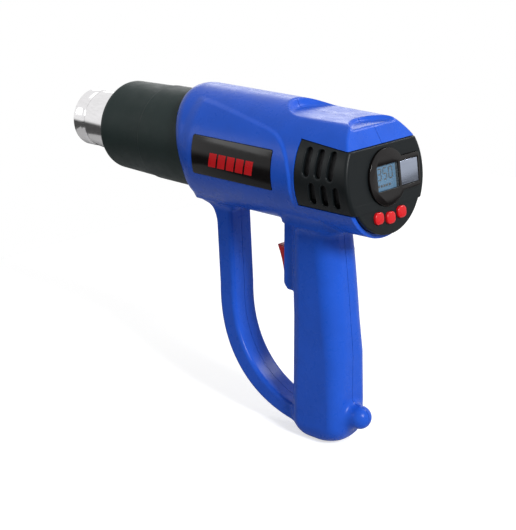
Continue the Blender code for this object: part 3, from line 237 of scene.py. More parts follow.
BODY_CELL = 0.6
COVER_CELL = 0.4
HOLLOW_CELL = 1.4
UNEVEN = 0.0004              # keeps the quads of a flat face from being merged into one
UNEVEN_WAVE = 37.0
ALL_X = (-250, 90)           # past the whole body, for cutters
ALL_Z = (-120, 140)
ALL_Y = 60


# Blends of forms, where a negative value is inside
def joined(a, b, round_by):
    h = np.clip(0.5 + 0.5 * (b - a) / round_by, 0.0, 1.0)
    return b + (a - b) * h - round_by * h * (1.0 - h)


def shared(a, b, round_by):
    return -joined(-a, -b, round_by)


def round_corner(u, v, radius):
    """Distance from two faces that meet in a round edge, with u and v taken from the round's centre."""
    return np.hypot(np.maximum(u, 0), np.maximum(v, 0)) + np.minimum(np.maximum(u, v), 0) - radius


def rounded_section(a, b, half_a, half_b, corner):
    """Distance from a rectangle with round corners."""
    return round_corner(np.abs(a) - half_a + corner, np.abs(b) - half_b + corner, corner)


def ramp(value, start, end):
    t = np.clip((value - start) / (end - start), 0.0, 1.0)
    return t * t * (3.0 - 2.0 * t)


# Outer form of the body
def barrel_radius(x):
    return BARREL_R + (BARREL_REAR_R - BARREL_R) * np.clip((x - TAPER_X) / (REAR_X - TAPER_X), 0.0, 1.0)


def face_x(height):
    return REAR_X - height * math.tan(FACE_TILT)


def panel_map():
    """Height of the raised panel over the barrel, as a map of the side view."""
    xs = np.arange(*MAP_X, MAP_STEP)
    hs = np.arange(*MAP_HEIGHT, MAP_STEP)
    x, h = np.meshgrid(xs, hs, indexing="ij")
    reach = np.full(x.shape, 1e9)
    inside = np.zeros(x.shape, bool)
    for (ax, ah), (bx, bh) in zip(PANEL_CREASE, PANEL_CREASE[1:] + PANEL_CREASE[:1]):
        t = np.clip(((x - ax) * (bx - ax) + (h - ah) * (bh - ah)) / ((bx - ax) ** 2 + (bh - ah) ** 2), 0, 1)
        reach = np.minimum(reach, np.hypot(x - ax - t * (bx - ax), h - ah - t * (bh - ah)))
        crosses = (ah > h) != (bh > h)
        if ah != bh:
            inside ^= crosses & (x < ax + (h - ah) * (bx - ax) / (bh - ah))
    signed = np.where(inside, reach, -reach)
    rise = PANEL_RISE * ramp(signed, -PANEL_EDGE / 2, PANEL_EDGE / 2)
    return xs, hs, rise * ramp(x, *PANEL_FRONT_FADE) * ramp(h, *PANEL_LOW_FADE)


PANEL_XS, PANEL_HS, PANEL_MAP = panel_map()


def panel_rise(x, height):
    """Reads the map between its points."""
    i = np.clip((x - PANEL_XS[0]) / MAP_STEP, 0, len(PANEL_XS) - 1.001)
    j = np.clip((height - PANEL_HS[0]) / MAP_STEP, 0, len(PANEL_HS) - 1.001)
    a = i.astype(int)
    b = j.astype(int)
    s = i - a
    t = j - b
    low = PANEL_MAP[a, b] * (1 - s) + PANEL_MAP[a + 1, b] * s
    high = PANEL_MAP[a, b + 1] * (1 - s) + PANEL_MAP[a + 1, b + 1] * s
    return low * (1 - t) + high * t


def top_cut(x, y, height, front_x, half, flat_h, draft):
    """What one flat takes off the top: a step with a half-round front and leaning sides."""
    lean = np.clip((height - flat_h) / (BARREL_R + 3.0 - flat_h), 0.0, 1.0)
    front = front_x + draft * (1.0 - lean)
    wide = half + 0.5 * draft * lean
    centre = front + wide
    beside = np.where(x < centre, np.hypot(x - centre, y) - wide, np.abs(y) - wide)
    return shared(flat_h - height, beside, TOP_CUT_ROUND)


def bevel(x, height):
    """Height above the slope that runs from the second flat down to the rear cover."""
    top_h = TOP_STEP_H + BEVEL_RISE
    fall = Vector((face_x(CHORD_REAR_H) - BEVEL_SHORT - BEVEL_X, CHORD_REAR_H - top_h)).normalized()
    return -(x - BEVEL_X) * fall.y + (height - top_h) * fall.x


def barrel_form(x, y, z):
    height = z - AXIS_Z
    radius = np.hypot(y, height)
    up = LIP_R * height / np.maximum(radius, 1.0)
    front = FRONT_X - FRONT_BOW * np.abs(up + FRONT_BOW_LOW) ** FRONT_BOW_POWER
    lip_t = BARREL_R - LIP_R
    ahead = (front + LIP_LENGTH - x) * lip_t / LIP_LENGTH
    wide = radius - barrel_radius(x) - panel_rise(x, height) + lip_t
    form = round_corner(ahead, wide, lip_t)
    flat = top_cut(x, y, height, TOP_FLAT_FRONT_X, TOP_FLAT_HALF, TOP_FLAT_H, TOP_FLAT_DRAFT)
    form = shared(form, -flat, TOP_FLAT_EDGE)
    step = top_cut(x, y, height, TOP_STEP_FRONT_X, TOP_STEP_HALF, TOP_STEP_H, TOP_STEP_DRAFT)
    form = shared(form, -step, TOP_STEP_EDGE)
    form = shared(form, bevel(x, height), BEVEL_EDGE)
    return shared(form, x - REAR_X, REAR_EDGE)


def flare(z, radius, foot):
    """Growth of a section as it meets the barrel with a fillet."""
    rise = np.clip(z - (foot - radius), 0.0, radius)
    return radius - np.sqrt(radius ** 2 - rise ** 2)


def handle_form(x, y, z, inset=0.0):
    base, lean, start, length = HANDLE_FRONT
    front = base + lean * np.clip((start - z) / length, 0.0, 1.0)
    base, lean, start, length, power = HANDLE_REAR
    rear = base + lean * np.clip((start - z) / length, 0.0, 1.0) ** power
    drop = np.clip((HANDLE_BOTTOM_Z + BOTTOM_ROUND - z) / BOTTOM_ROUND, 0.0, 1.0)
    round_off = BOTTOM_INSET * (1.0 - np.sqrt(1.0 - drop ** 2))
    front = front - flare(z, FOOT_FRONT, FOOT_Z) + 0.4 * round_off + inset
    rear = rear + flare(z, FOOT_REAR, FOOT_Z) - round_off - inset
    half = HANDLE_HALF_W + flare(z, FOOT_SIDE, FOOT_Z) - 0.8 * round_off - inset
    fall = HANDLE_CORNER_FALL * np.clip((CORNER_FALL_Z - z) / CORNER_FALL_RUN, 0.0, 1.0) * (1.0 - drop)
    corner = np.maximum(HANDLE_CORNER - fall - inset, 1.0)
    side = rounded_section(x - (front + rear) / 2, y, (rear - front) / 2, half, corner)
    ends = np.maximum(HANDLE_BOTTOM_Z + inset - z, z - HANDLE_TOP_Z)
    return shared(side, ends, BOTTOM_EDGE)


def loop_reach(x, z, size):
    """Distance outwards from the loop's curve, which runs straight up above its centre."""
    a, b = size
    u = np.maximum(LOOP_X - x, 0.0) / a
    v = np.maximum(LOOP_Z - z, 0.0) / b
    level = np.maximum((u ** LOOP_POWER + v ** LOOP_POWER) ** (1.0 / LOOP_POWER), 1e-6)
    steep_u = (u / level) ** (LOOP_POWER - 1.0) / a
    steep_v = (v / level) ** (LOOP_POWER - 1.0) / b
    return (level - 1.0) / np.maximum(np.hypot(steep_u, steep_v), 1e-6)


def strut_form(x, y, z, inset=0.0):
    upright = x + STRUT_LEAN * np.maximum(z - LOOP_Z, 0.0)
    growth = np.minimum(flare(z, STRUT_FOOT_FRONT, STRUT_FOOT_Z + 1.0), STRUT_FOOT_CAP)
    outer = loop_reach(upright, z, LOOP_OUT) - growth
    inner = loop_reach(upright, z, LOOP_IN) + flare(z, STRUT_FOOT_REAR, STRUT_FOOT_Z - 6.0)
    across = np.maximum(outer, -inner) + inset
    wide = np.abs(y) - STRUT_HALF_W - flare(z, STRUT_FOOT_SIDE, STRUT_FOOT_Z) + inset
    corner = max(STRUT_CORNER - inset, 0.6)
    form = round_corner(across + corner, wide + corner, corner)
    return np.maximum(form, np.maximum(z - STRUT_TOP_Z, x - LOOP_X))


def heel_form(x, y, z):
    """A tapered rod out of the handle's rear, with a ball at its end."""
    run = HEEL - HEEL_ROOT
    t = np.clip(((x - HEEL_ROOT.x) * run.x + (z - HEEL_ROOT.z) * run.z) / run.length_squared, 0.0, 1.0)
    near = np.sqrt((x - HEEL_ROOT.x - t * run.x) ** 2 + y ** 2 + (z - HEEL_ROOT.z - t * run.z) ** 2)
    return near - HEEL_ROOT_R - t * (HEEL_R - HEEL_ROOT_R)


def pad_form(x, y, z):
    """Raised frame on the handle's front, with a sloping step below the switch."""
    step = 0.7 * (PAD_LOW_Z + PAD_STEP - z) - 0.7 * (x - PAD_X - PAD_STEP)
    side = shared(np.maximum(PAD_X - x, x - PAD_REAR_X), np.maximum(PAD_LOW_Z - z, step), 1.2)
    return shared(side, np.maximum(np.abs(y) - PAD_HALF, z - PAD_TOP_Z), PAD_EDGE)


def body_form(x, y, z):
    form = joined(barrel_form(x, y, z), handle_form(x, y, z), HANDLE_BLEND)
    form = joined(form, strut_form(x, y, z), STRUT_BLEND)
    form = joined(form, pad_form(x, y, z), PAD_BLEND)
    return joined(form, heel_form(x, y, z), HEEL_BLEND)


def core_form(x, y, z):
    """The body without its skin, where the shells' seam has no groove."""
    return body_form(x, y, z) + SEAM_DEPTH


GUARD_FLANGE_T = 2.3
GUARD_SEAT_X = guard_high.x - GUARD_FLANGE_T
GUARD_REAR_R = 29.5
TUBE_R = 21.4
GROOVE_X0 = GUARD_SEAT_X - FIT
GROOVE_X1 = nozzle_high.x + FIT
FLANGE_R = (guard_high.z - guard_low.z) / 2
GROOVE_R = FLANGE_R + FIT
COLLAR_T = 2.6


def hollow_form(x, y, z):
    """Room inside the shells, with the screws' bosses left standing."""
    height = z - AXIS_Z
    room = np.hypot(y, height) - barrel_radius(x) + WALL
    room = np.maximum(room, np.maximum(GROOVE_X1 + COLLAR_T - x, x - REAR_X - 6.0))
    room = np.maximum(room, np.where(x > TOP_FLAT_FRONT_X - 2.0, height - TOP_STEP_H + WALL, -1e3))
    room = np.maximum(room, bevel(x, height) + WALL)
    room = joined(room, handle_form(x, y, z, WALL), HOLLOW_BLEND)
    room = joined(room, strut_form(x, y, z, WALL), HOLLOW_BLEND)
    for screw_x, screw_z in SCREWS:
        room = np.maximum(room, BOSS_R - np.hypot(x - screw_x, z - screw_z))
    return room


# Objects
def shown(name, data):
    made = bpy.data.objects.new(name, data)
    bpy.context.scene.collection.objects.link(made)
    return made


# Meshes from forms
CORNERS = [np.array((i, j, k)) for i in (0, 1) for j in (0, 1) for k in (0, 1)]
CELL_EDGES = [(a, b) for a in range(8) for b in range(a + 1, 8)
              if np.abs(CORNERS[a] - CORNERS[b]).sum() == 1]


def drawn_to(form, points, cell, passes=3):
    """Moves points along the form's slope until they lie on its surface."""
    step = 0.05
    for _ in range(passes):
        value = form(*points.T)
        slope = np.empty_like(points)
        for axis in range(3):
            shift = np.zeros(3)
            shift[axis] = step
            slope[:, axis] = (form(*(points + shift).T) - form(*(points - shift).T)) / (2 * step)
        move = slope * (value / np.maximum((slope ** 2).sum(axis=1), 1e-6))[:, None]
        length = np.linalg.norm(move, axis=1)
        move *= np.minimum(1.0, cell / np.maximum(length, 1e-9))[:, None]
        points = points - move
    return points


def surface_of(form, low, high, cell, name):
    """A mesh of quads round a form, with one point in each cell that its surface crosses."""
    axes = [np.arange(a, b + cell, cell) for a, b in zip(low, high)]
    y, z = np.meshgrid(axes[1], axes[2], indexing="ij")
    values = np.empty([len(axis) for axis in axes])
    for i, x in enumerate(axes[0]):
        values[i] = form(np.full(y.size, x), y.ravel(), z.ravel()).reshape(y.shape)
    inside = values < 0
    filled = sum(inside[tuple(slice(c, size - 1 + c) for c, size in zip(corner, inside.shape))].astype(int)
                 for corner in CORNERS)
    mixed = (filled > 0) & (filled < 8)
    cells = np.argwhere(mixed)
    index = np.full(mixed.shape, -1)
    index[mixed] = np.arange(len(cells))
    total = np.zeros((len(cells), 3))
    hits = np.zeros(len(cells))
    for a, b in CELL_EDGES:
        first = values[tuple((cells + CORNERS[a]).T)]
        second = values[tuple((cells + CORNERS[b]).T)]
        crossing = (first < 0) != (second < 0)
        t = np.where(crossing, first / np.where(crossing, first - second, 1.0), 0.0)
        total += crossing[:, None] * (CORNERS[a] + (CORNERS[b] - CORNERS[a]) * t[:, None])
        hits += crossing
    points = (cells + total / hits[:, None]) * cell + np.array([axis[0] for axis in axes])
    points = drawn_to(form, points, cell)
    points += UNEVEN * np.sin(points[:, (1, 2, 0)] * UNEVEN_WAVE)
    quads = []
    for axis in range(3):
        near = inside[tuple(slice(None, -1) if a == axis else slice(1, -1) for a in range(3))]
        far = inside[tuple(slice(1, None) if a == axis else slice(1, -1) for a in range(3))]
        edges = np.argwhere(near != far)
        u = np.eye(3, dtype=int)[(axis + 1) % 3]
        v = np.eye(3, dtype=int)[(axis + 2) % 3]
        quad = np.stack([index[tuple((edges + offset).T)] for offset in (0 * u, u, u + v, v)], axis=1)
        outwards = near[tuple(edges.T)]
        quad[~outwards] = quad[~outwards][:, ::-1]
        quads.append(quad)
    mesh = bpy.data.meshes.new(name)
    mesh.from_pydata((points * MM).tolist(), [], np.concatenate(quads).tolist())
    return shown(name, mesh)


# Meshes from points and cuts
def from_bmesh(name, bm):
    bmesh.ops.recalc_face_normals(bm, faces=bm.faces)
    mesh = bpy.data.meshes.new(name)
    bm.to_mesh(mesh)
    bm.free()
    return shown(name, mesh)


def applied(obj):
    """Turns an object's modifiers into its mesh."""
    graph = bpy.context.evaluated_depsgraph_get()
    mesh = bpy.data.meshes.new_from_object(obj.evaluated_get(graph))
    obj.modifiers.clear()
    obj.data = mesh
    return obj


def cut(obj, *cutters, operation="DIFFERENCE"):
    """Takes the cutters from an object, and removes them."""
    for cutter in cutters:
        step = obj.modifiers.new("cut", "BOOLEAN")
        step.operation = operation
        step.solver = "MANIFOLD"
        step.object = cutter
        bpy.context.view_layer.update()
        applied(obj)
        bpy.data.objects.remove(cutter)
    return obj


def keep(obj, cutter):
    return cut(obj, cutter, operation="INTERSECT")


def add(obj, *others):
    return cut(obj, *others, operation="UNION")


def softened(obj, width, segments=3, angle=40.0):
    """Rounds the sharp edges of a piece."""
    step = obj.modifiers.new("edges", "BEVEL")
    step.width = width * MM
    step.segments = segments
    step.limit_method = "ANGLE"
    step.angle_limit = math.radians(angle)
    step.harden_normals = False
    return applied(obj)


def smooth(obj, angle=35.0):
    obj.data.shade_smooth()
    obj.data.set_sharp_from_angle(angle=math.radians(angle))
    return obj


def loft(rings, name, closed=False):
    """Joins rings of points. The ends are filled, or the last ring is joined to the first."""
    bm = bmesh.new()
    loops = [[bm.verts.new(Vector(point) * MM) for point in ring] for ring in rings]
    count = len(loops[0])
    for low, high in zip(loops, loops[1:] + (loops[:1] if closed else [])):
        for i in range(count):
            j = (i + 1) % count
            bm.faces.new((low[i], low[j], high[j], high[i]))
    if not closed:
        bm.faces.new(loops[0])
        bm.faces.new(loops[-1])
    return from_bmesh(name, bm)


def circle(radius, sides):
    """Points round a circle."""
    turns = [2 * math.pi * i / sides for i in range(sides)]
    return [(radius * math.cos(turn), radius * math.sin(turn)) for turn in turns]


def side_prism(outline, y0, y1, name="prism"):
    """Extrudes a side view of (x, z) points along Y."""
    return loft([[(x, y, z) for x, z in outline] for y in (y0, y1)], name)


def box(x0, x1, y0, y1, z0, z1):
    return side_prism([(x0, z0), (x1, z0), (x1, z1), (x0, z1)], y0, y1, "box")


def all_through(y0, y1):
    """A slab past the body's whole length and height."""
    return box(*ALL_X, y0, y1, *ALL_Z)


def turned(profile, sides, name):
    """Turns a closed profile of (x, radius) points about the barrel's axis."""
    rings = [[(x, r * s, AXIS_Z + r * c) for x, r in profile] for c, s in circle(1, sides)]
    return loft(rings, name, closed=True)


def turned_solid(profile, sides, name):
    """Turns an open profile of (x, radius) points about the barrel's axis, and fills its ends."""
    return loft([[(x, b, AXIS_Z + a) for a, b in circle(r, sides)] for x, r in profile], name)


def rod(start, end, radius, sides=32):
    start = Vector(start) * MM
    end = Vector(end) * MM
    turn = Vector((0, 0, 1)).rotation_difference(end - start).to_matrix().to_4x4()
    bm = bmesh.new()
    bmesh.ops.create_cone(bm, cap_ends=True, segments=sides, radius1=radius * MM, radius2=radius * MM,
                          depth=(end - start).length, matrix=Matrix.Translation((start + end) / 2) @ turn)
    return from_bmesh("rod", bm)


def arc(centre, radius, start, end, steps):
    turns = [math.radians(start + (end - start) * i / steps) for i in range(steps + 1)]
    return [(centre[0] + radius * math.cos(turn), centre[1] + radius * math.sin(turn)) for turn in turns]


def rounded_rectangle(centre, half_a, half_b, corner, steps=6):
    points = []
    for quarter, (a, b) in enumerate(((1, 1), (-1, 1), (-1, -1), (1, -1))):
        middle = (centre[0] + a * (half_a - corner), centre[1] + b * (half_b - corner))
        points += arc(middle, corner, 90 * quarter, 90 * quarter + 90, steps)
    return points


def dressed(obj, name, finish, body, slot, *nodes):
    """Names a piece, gives it its material and its body, and hides the nodes that it stands for."""
    obj.name = name
    obj.data.name = name
    obj.data.materials.clear()
    obj.data.materials.append(finish)
    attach(obj, body)
    if nodes:
        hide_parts(*nodes)
    return obj


# Materials
class Finish:
    """A material with its nodes, built round one shader."""

    def __init__(self, name, colour, roughness, metallic=0.0):
        self.material = bpy.data.materials.new(name)
        self.material.use_nodes = True
        self.nodes = self.material.node_tree.nodes
        self.links = self.material.node_tree.links
        self.shader = self.nodes["Principled BSDF"]
        self.set(Base_Color=(*colour, 1.0), Roughness=roughness, Metallic=metallic)
        self.colour = colour
        self.roughness = roughness
        self.place = self.nodes.new("ShaderNodeTexCoord").outputs["Object"]

    def noise(self, size, detail=2.0, stretch=None):
        """A noise whose grain is about the given size in millimetres."""
        made = self.nodes.new("ShaderNodeTexNoise")
        made.inputs["Scale"].default_value = 1.0 / (size * MM)
        made.inputs["Detail"].default_value = detail
        source = self.place
        if stretch:
            mapping = self.nodes.new("ShaderNodeMapping")
            mapping.inputs["Scale"].default_value = stretch
            self.links.new(self.place, mapping.inputs["Vector"])
            source = mapping.outputs["Vector"]
        self.links.new(source, made.inputs["Vector"])
        return made.outputs["Fac"]

    def ranged(self, value, low, high, start=0.3, end=0.7):
        made = self.nodes.new("ShaderNodeMapRange")
        for name, limit in (("From Min", start), ("From Max", end), ("To Min", low), ("To Max", high)):
            made.inputs[name].default_value = limit
        self.links.new(value, made.inputs["Value"])
        return made.outputs["Result"]

    def vary_colour(self, value, darker, lighter):
        made = self.nodes.new("ShaderNodeMix")
        made.data_type = "RGBA"
        made.inputs["A"].default_value = (*[c * darker for c in self.colour], 1.0)
        made.inputs["B"].default_value = (*[min(1.0, c * lighter) for c in self.colour], 1.0)
        self.links.new(self.ranged(value, 0.0, 1.0), made.inputs["Factor"])
        self.links.new(made.outputs["Result"], self.shader.inputs["Base Color"])
        return self

    def vary_roughness(self, value, spread):
        low = max(0.02, self.roughness - spread)
        self.links.new(self.ranged(value, low, self.roughness + spread), self.shader.inputs["Roughness"])
        return self

    def bump(self, value, depth, strength=1.0):
        """Raises the surface by the given depth in millimetres."""
        made = self.nodes.new("ShaderNodeBump")
        made.inputs["Strength"].default_value = strength
        made.inputs["Distance"].default_value = depth * MM
        self.links.new(value, made.inputs["Height"])
        self.links.new(made.outputs["Normal"], self.shader.inputs["Normal"])
        return self

    def set(self, **values):
        for name, value in values.items():
            self.shader.inputs[name.replace("_", " ")].default_value = value
        return self


def moulded(name, colour, roughness, grain, depth, spread=0.05, specular=0.5):
    """Moulded plastic with a fine eroded grain and slow changes of colour and gloss."""
    finish = Finish(name, colour, roughness).set(Specular_IOR_Level=specular)
    finish.vary_colour(finish.noise(18.0, 3.0), 0.94, 1.06)
    finish.vary_roughness(finish.noise(7.0, 4.0), spread)
    finish.bump(finish.noise(grain, 1.0), depth)
    return finish.material


def brushed(name, colour, roughness, stretch, spread=0.04):
    """Metal with fine marks drawn out in one direction."""
    finish = Finish(name, colour, roughness, 1.0)
    marks = finish.noise(1.2, 3.0, stretch)
    finish.vary_colour(marks, 0.95, 1.03)
    finish.vary_roughness(marks, spread)
    finish.bump(marks, 0.004)
    return finish.material


def screen_material():
    """Woven wire: a fine grid of dark gaps between bright wires."""
    finish = Finish("screen", (0.05, 0.05, 0.055), 0.5, 0.6)
    weave = finish.nodes.new("ShaderNodeTexChecker")
    weave.inputs["Scale"].default_value = 1.0 / (0.6 * MM)
    weave.inputs["Color1"].default_value = (0.035, 0.035, 0.038, 1.0)
    weave.inputs["Color2"].default_value = (0.004, 0.004, 0.004, 1.0)
    finish.links.new(finish.place, weave.inputs["Vector"])
    finish.links.new(weave.outputs["Color"], finish.shader.inputs["Base Color"])
    finish.bump(weave.outputs["Fac"], 0.1)
    return finish.material


def window_material():
    finish = Finish("clear_window", (0.25, 0.30, 0.33), 0.05)
    finish.bump(finish.noise(6.0), 0.002)
    return finish.set(Alpha=0.10, IOR=1.49).material


BLUE = moulded("blue_casing", (0.012, 0.080, 0.50), 0.29, 0.45, 0.018, specular=0.15)
BLACK = moulded("black_cover", (0.005, 0.007, 0.008), 0.38, 0.35, 0.03, specular=0.15)
GUARD_BLACK = moulded("guard_black", (0.013, 0.023, 0.022), 0.50, 0.5, 0.05, specular=0.13)
GLOSS = moulded("gloss_black", (0.004, 0.003, 0.003), 0.14, 2.0, 0.004, 0.03, 0.25)
RED = moulded("red_button", (0.52, 0.006, 0.010), 0.28, 0.8, 0.01, specular=0.3)
RUBBER = moulded("inlet_rubber", (0.016, 0.016, 0.016), 0.75, 0.3, 0.03)
CHROME = brushed("nozzle_chrome", (0.80, 0.79, 0.80), 0.12, (0.2, 1.0, 1.0), 0.03)
STEEL = brushed("zinc_plate", (0.48, 0.49, 0.52), 0.34, (1.0, 1.0, 1.0))
SILVER = brushed("display_plate", (0.33, 0.37, 0.46), 0.24, (1.0, 0.1, 1.0))
RED_PRINT = moulded("red_print", (0.52, 0.006, 0.010), 0.30, 1.0, 0.004, specular=0.2)
LCD = moulded("lcd_glass", (0.07, 0.18, 0.31), 0.22, 3.0, 0.002, 0.03, 0.2)
DIGIT = moulded("lcd_digits", (0.012, 0.015, 0.02), 0.30, 3.0, 0.002)
COPPER = brushed("copper", (0.75, 0.36, 0.20), 0.35, (1.0, 1.0, 1.0))
MICA = moulded("mica", (0.42, 0.38, 0.32), 0.60, 1.0, 0.03)
NYLON = moulded("natural_nylon", (0.66, 0.64, 0.58), 0.45, 0.5, 0.01)
BOARD = moulded("board_green", (0.02, 0.14, 0.055), 0.40, 1.5, 0.01)
MAGNET = moulded("ferrite", (0.05, 0.05, 0.055), 0.70, 0.4, 0.02)
SCREEN = screen_material()
WINDOW = window_material()


# Body shells
SIDES = ((-1, "left"), (1, "right"))
PAST_REAR_X = 60
BARREL_SCREW_SINK = 2.0      # how deep the screws' heads lie
STRUT_SCREW_SINK = 3.6
HANDLE_SCREW_SINK = 4.5


def guard_bore():
    """The round opening that the guard passes through, with the groove of its flange."""
    profile = [(-150, GUARD_REAR_R + FIT), (GROOVE_X0, GUARD_REAR_R + FIT), (GROOVE_X0, GROOVE_R),
               (GROOVE_X1, GROOVE_R), (GROOVE_X1, TUBE_R + FIT), (GROOVE_X1 + COLLAR_T + 2, TUBE_R + FIT)]
    return turned_solid(profile, 128, "bore")


def chord_height(x):
    """Top edge of the rear cover's wings, above the barrel's axis."""
    return CHORD_H - (CHORD_H - CHORD_REAR_H) * (x - COVER_X) / (REAR_X - COVER_X)


def cover_opening():
    """Room for the wings of the rear cover."""
    front = COVER_X - FIT
    low = AXIS_Z + COVER_LOW_H - FIT
    outline = [(front, low), (PAST_REAR_X, low), (PAST_REAR_X, AXIS_Z + chord_height(PAST_REAR_X) + FIT),
               (front, AXIS_Z + chord_height(front) + FIT)]
    return side_prism(outline, -ALL_Y, ALL_Y)


def switch_opening():
    proud = 2.5
    middle = (PAD_X + SWITCH_DEPTH / 2 - proud, SWITCH_Z)
    outline = rounded_rectangle(middle, SWITCH_DEPTH / 2 + proud + FIT, SWITCH_HALF_Z + FIT, 0.6)
    return side_prism(outline, -SWITCH_HALF_W - FIT, SWITCH_HALF_W + FIT)


def cord_opening():
    return rod((GLAND_X, 0, HANDLE_BOTTOM_Z - 5), (GLAND_X, 0, HANDLE_BOTTOM_Z + 12), GLAND_R + FIT)


def curved_patch(side, outline, inner_r, outer_r, name):
    """The part of a sleeve round the barrel that lies within an outline in side view."""
    xs = [point[0] for point in outline]
    start = min(xs) - 2
    end = max(xs) + 2
    sleeve = turned([(start, inner_r), (end, inner_r), (end, outer_r), (start, outer_r)], 256, name)
    return keep(sleeve, side_prism(outline, *sorted((side * 20, side * ALL_Y))))


def plate_patch(side, grow, inner_r, outer_r, name):
    """The side plate's outline, a little larger if wanted, as a patch of a sleeve."""
    centre = ((plate_low.x + plate_high.x) / 2, (plate_low.z + plate_high.z) / 2)
    outline = rounded_rectangle(centre, (plate_high.x - plate_low.x) / 2 + grow,
                                (plate_high.z - plate_low.z) / 2 + grow, PLATE_CORNER + grow)
    return curved_patch(side, outline, inner_r, outer_r, name)


def screw_seat_y(x, z):
    """How far out a shell screw's head lies, on the right side."""
    on_barrel = z > AXIS_Z - BARREL_R
    on_strut = x < PAD_X
    if on_barrel:
        return math.sqrt((barrel_radius(x) - 5.0) ** 2 - (z - AXIS_Z) ** 2) - BARREL_SCREW_SINK
    if on_strut:
        return STRUT_HALF_W - STRUT_SCREW_SINK
    return HANDLE_HALF_W - HANDLE_SCREW_SINK


def body_shells():
    """The whole casing as one form, hollowed, opened and parted in the middle plane."""
    reach = PANEL_TOP + 2
    low = (shell_low.x - 2, -reach, shell_low.z - 2)
    high = (REAR_X + 2, reach, AXIS_Z + reach)
    body = surface_of(body_form, low, high, BODY_CELL, "body")
    hollow = surface_of(hollow_form, low, (REAR_X + 10, reach, AXIS_Z + reach), HOLLOW_CELL, "hollow")
    core = surface_of(core_form, low, high, HOLLOW_CELL, "core")
    seam = cut(all_through(-SEAM_HALF_W, SEAM_HALF_W), core)
    cut(body, seam, hollow, guard_bore(), cover_opening(), switch_opening(), cord_opening())
    for side, name in SIDES:
        shell = shown(name, body.data.copy())
        keep(shell, all_through(*sorted((side * PARTING, side * ALL_Y))))
        cut(shell, plate_patch(side, FIT, PANEL_TOP - PLATE_T, BARREL_R + 6, "place"))
        if name == "right":
            for x, z in SCREWS:
                cut(shell, rod((x, screw_seat_y(x, z), z), (x, ALL_Y, z), SCREW_HEAD_R + FIT))
        smooth(shell, 32.0)
        dressed(shell, f"shell_{name}", BLUE, "housing", "blue_plastic", f"body_shell_{name}")
    bpy.data.objects.remove(body)


# A screw's head, as heights above its seat and radii
SCREW_HEAD = [(0.0, 2.6), (0.25, 2.85), (0.9, SCREW_HEAD_R), (1.4, 2.7), (1.8, 2.0), (2.0, 1.0)]
CROSS_LONG = 1.6
CROSS_WIDE = 0.32


def shell_screws():
    """Pan heads with a cross, sunk in the right shell."""
    for index, (x, z) in enumerate(SCREWS):
        seat = screw_seat_y(x, z) + FIT
        head = loft([[(x + a, seat + rise, z + b) for a, b in circle(radius, 32)]
                     for rise, radius in SCREW_HEAD], "head")
        for wide, tall in ((CROSS_LONG, CROSS_WIDE), (CROSS_WIDE, CROSS_LONG)):
            cut(head, box(x - wide, x + wide, seat + 0.9, seat + 3, z - tall, z + tall))
        add(head, rod((x, -7.5, z), (x, seat + 0.5, z), 1.4, 16))
        smooth(head, 35.0)
        dressed(head, f"casing_screw_{index + 1}", STEEL, "housing", "zinc_steel",
                f"shell_screw_{index + 1}")


# Guard and nozzle
GUARD_FRONT_R = 27.6
GUARD_LIP_R = 22.6
GUARD_MOUTH_R = 20.8
SHOULDER_LENGTH = 5.4
GUARD_STEP_X = -125.0
GUARD_STEP_R = GUARD_FRONT_R + (GUARD_REAR_R - GUARD_FRONT_R) * 0.45
RIM_LENGTH = 8.5
RIM_R = 18.1
BEAD_R = 0.9
NECK_R = 17.2                # the groove behind the rim, and where the bead starts
TUBE_FRONT_X = -158.2        # where the cone steps out to the heater's tube
TUBE_WALL = 0.9


def quarter_turn(step):
    """Cosines and sines from 0 to 90 degrees."""
    return [(math.cos(math.radians(a)), math.sin(math.radians(a))) for a in range(0, 91, step)]


def guard():
    """A sleeve with a round shoulder and a small step, held by a flange at its rear."""
    front = guard_low.x
    step_x = GUARD_STEP_X
    step_r = GUARD_STEP_R
    shoulder = [(front + SHOULDER_LENGTH * (1 - c), GUARD_LIP_R + (GUARD_FRONT_R - GUARD_LIP_R) * s)
                for c, s in quarter_turn(9)]
    step = [(step_x - 0.9, step_r), (step_x - 0.5, step_r + 0.12), (step_x - 0.1, step_r + 0.42),
            (step_x + 0.3, step_r + 0.52)]
    outer = [(front + 0.15, GUARD_MOUTH_R), *shoulder, *step, (GUARD_SEAT_X, GUARD_REAR_R),
             (GUARD_SEAT_X, FLANGE_R), (guard_high.x, FLANGE_R)]
    inner = [(guard_high.x, GUARD_REAR_R - 2.2), (step_x, step_r - 1.8), (front + 6, 25.4),
             (front + 3, GUARD_LIP_R), (front + 2.2, GUARD_MOUTH_R)]
    made = smooth(turned(outer + inner, 160, "guard"), 50.0)
    dressed(made, "guard_sleeve", GUARD_BLACK, "housing", "black_plastic", "heat_guard")


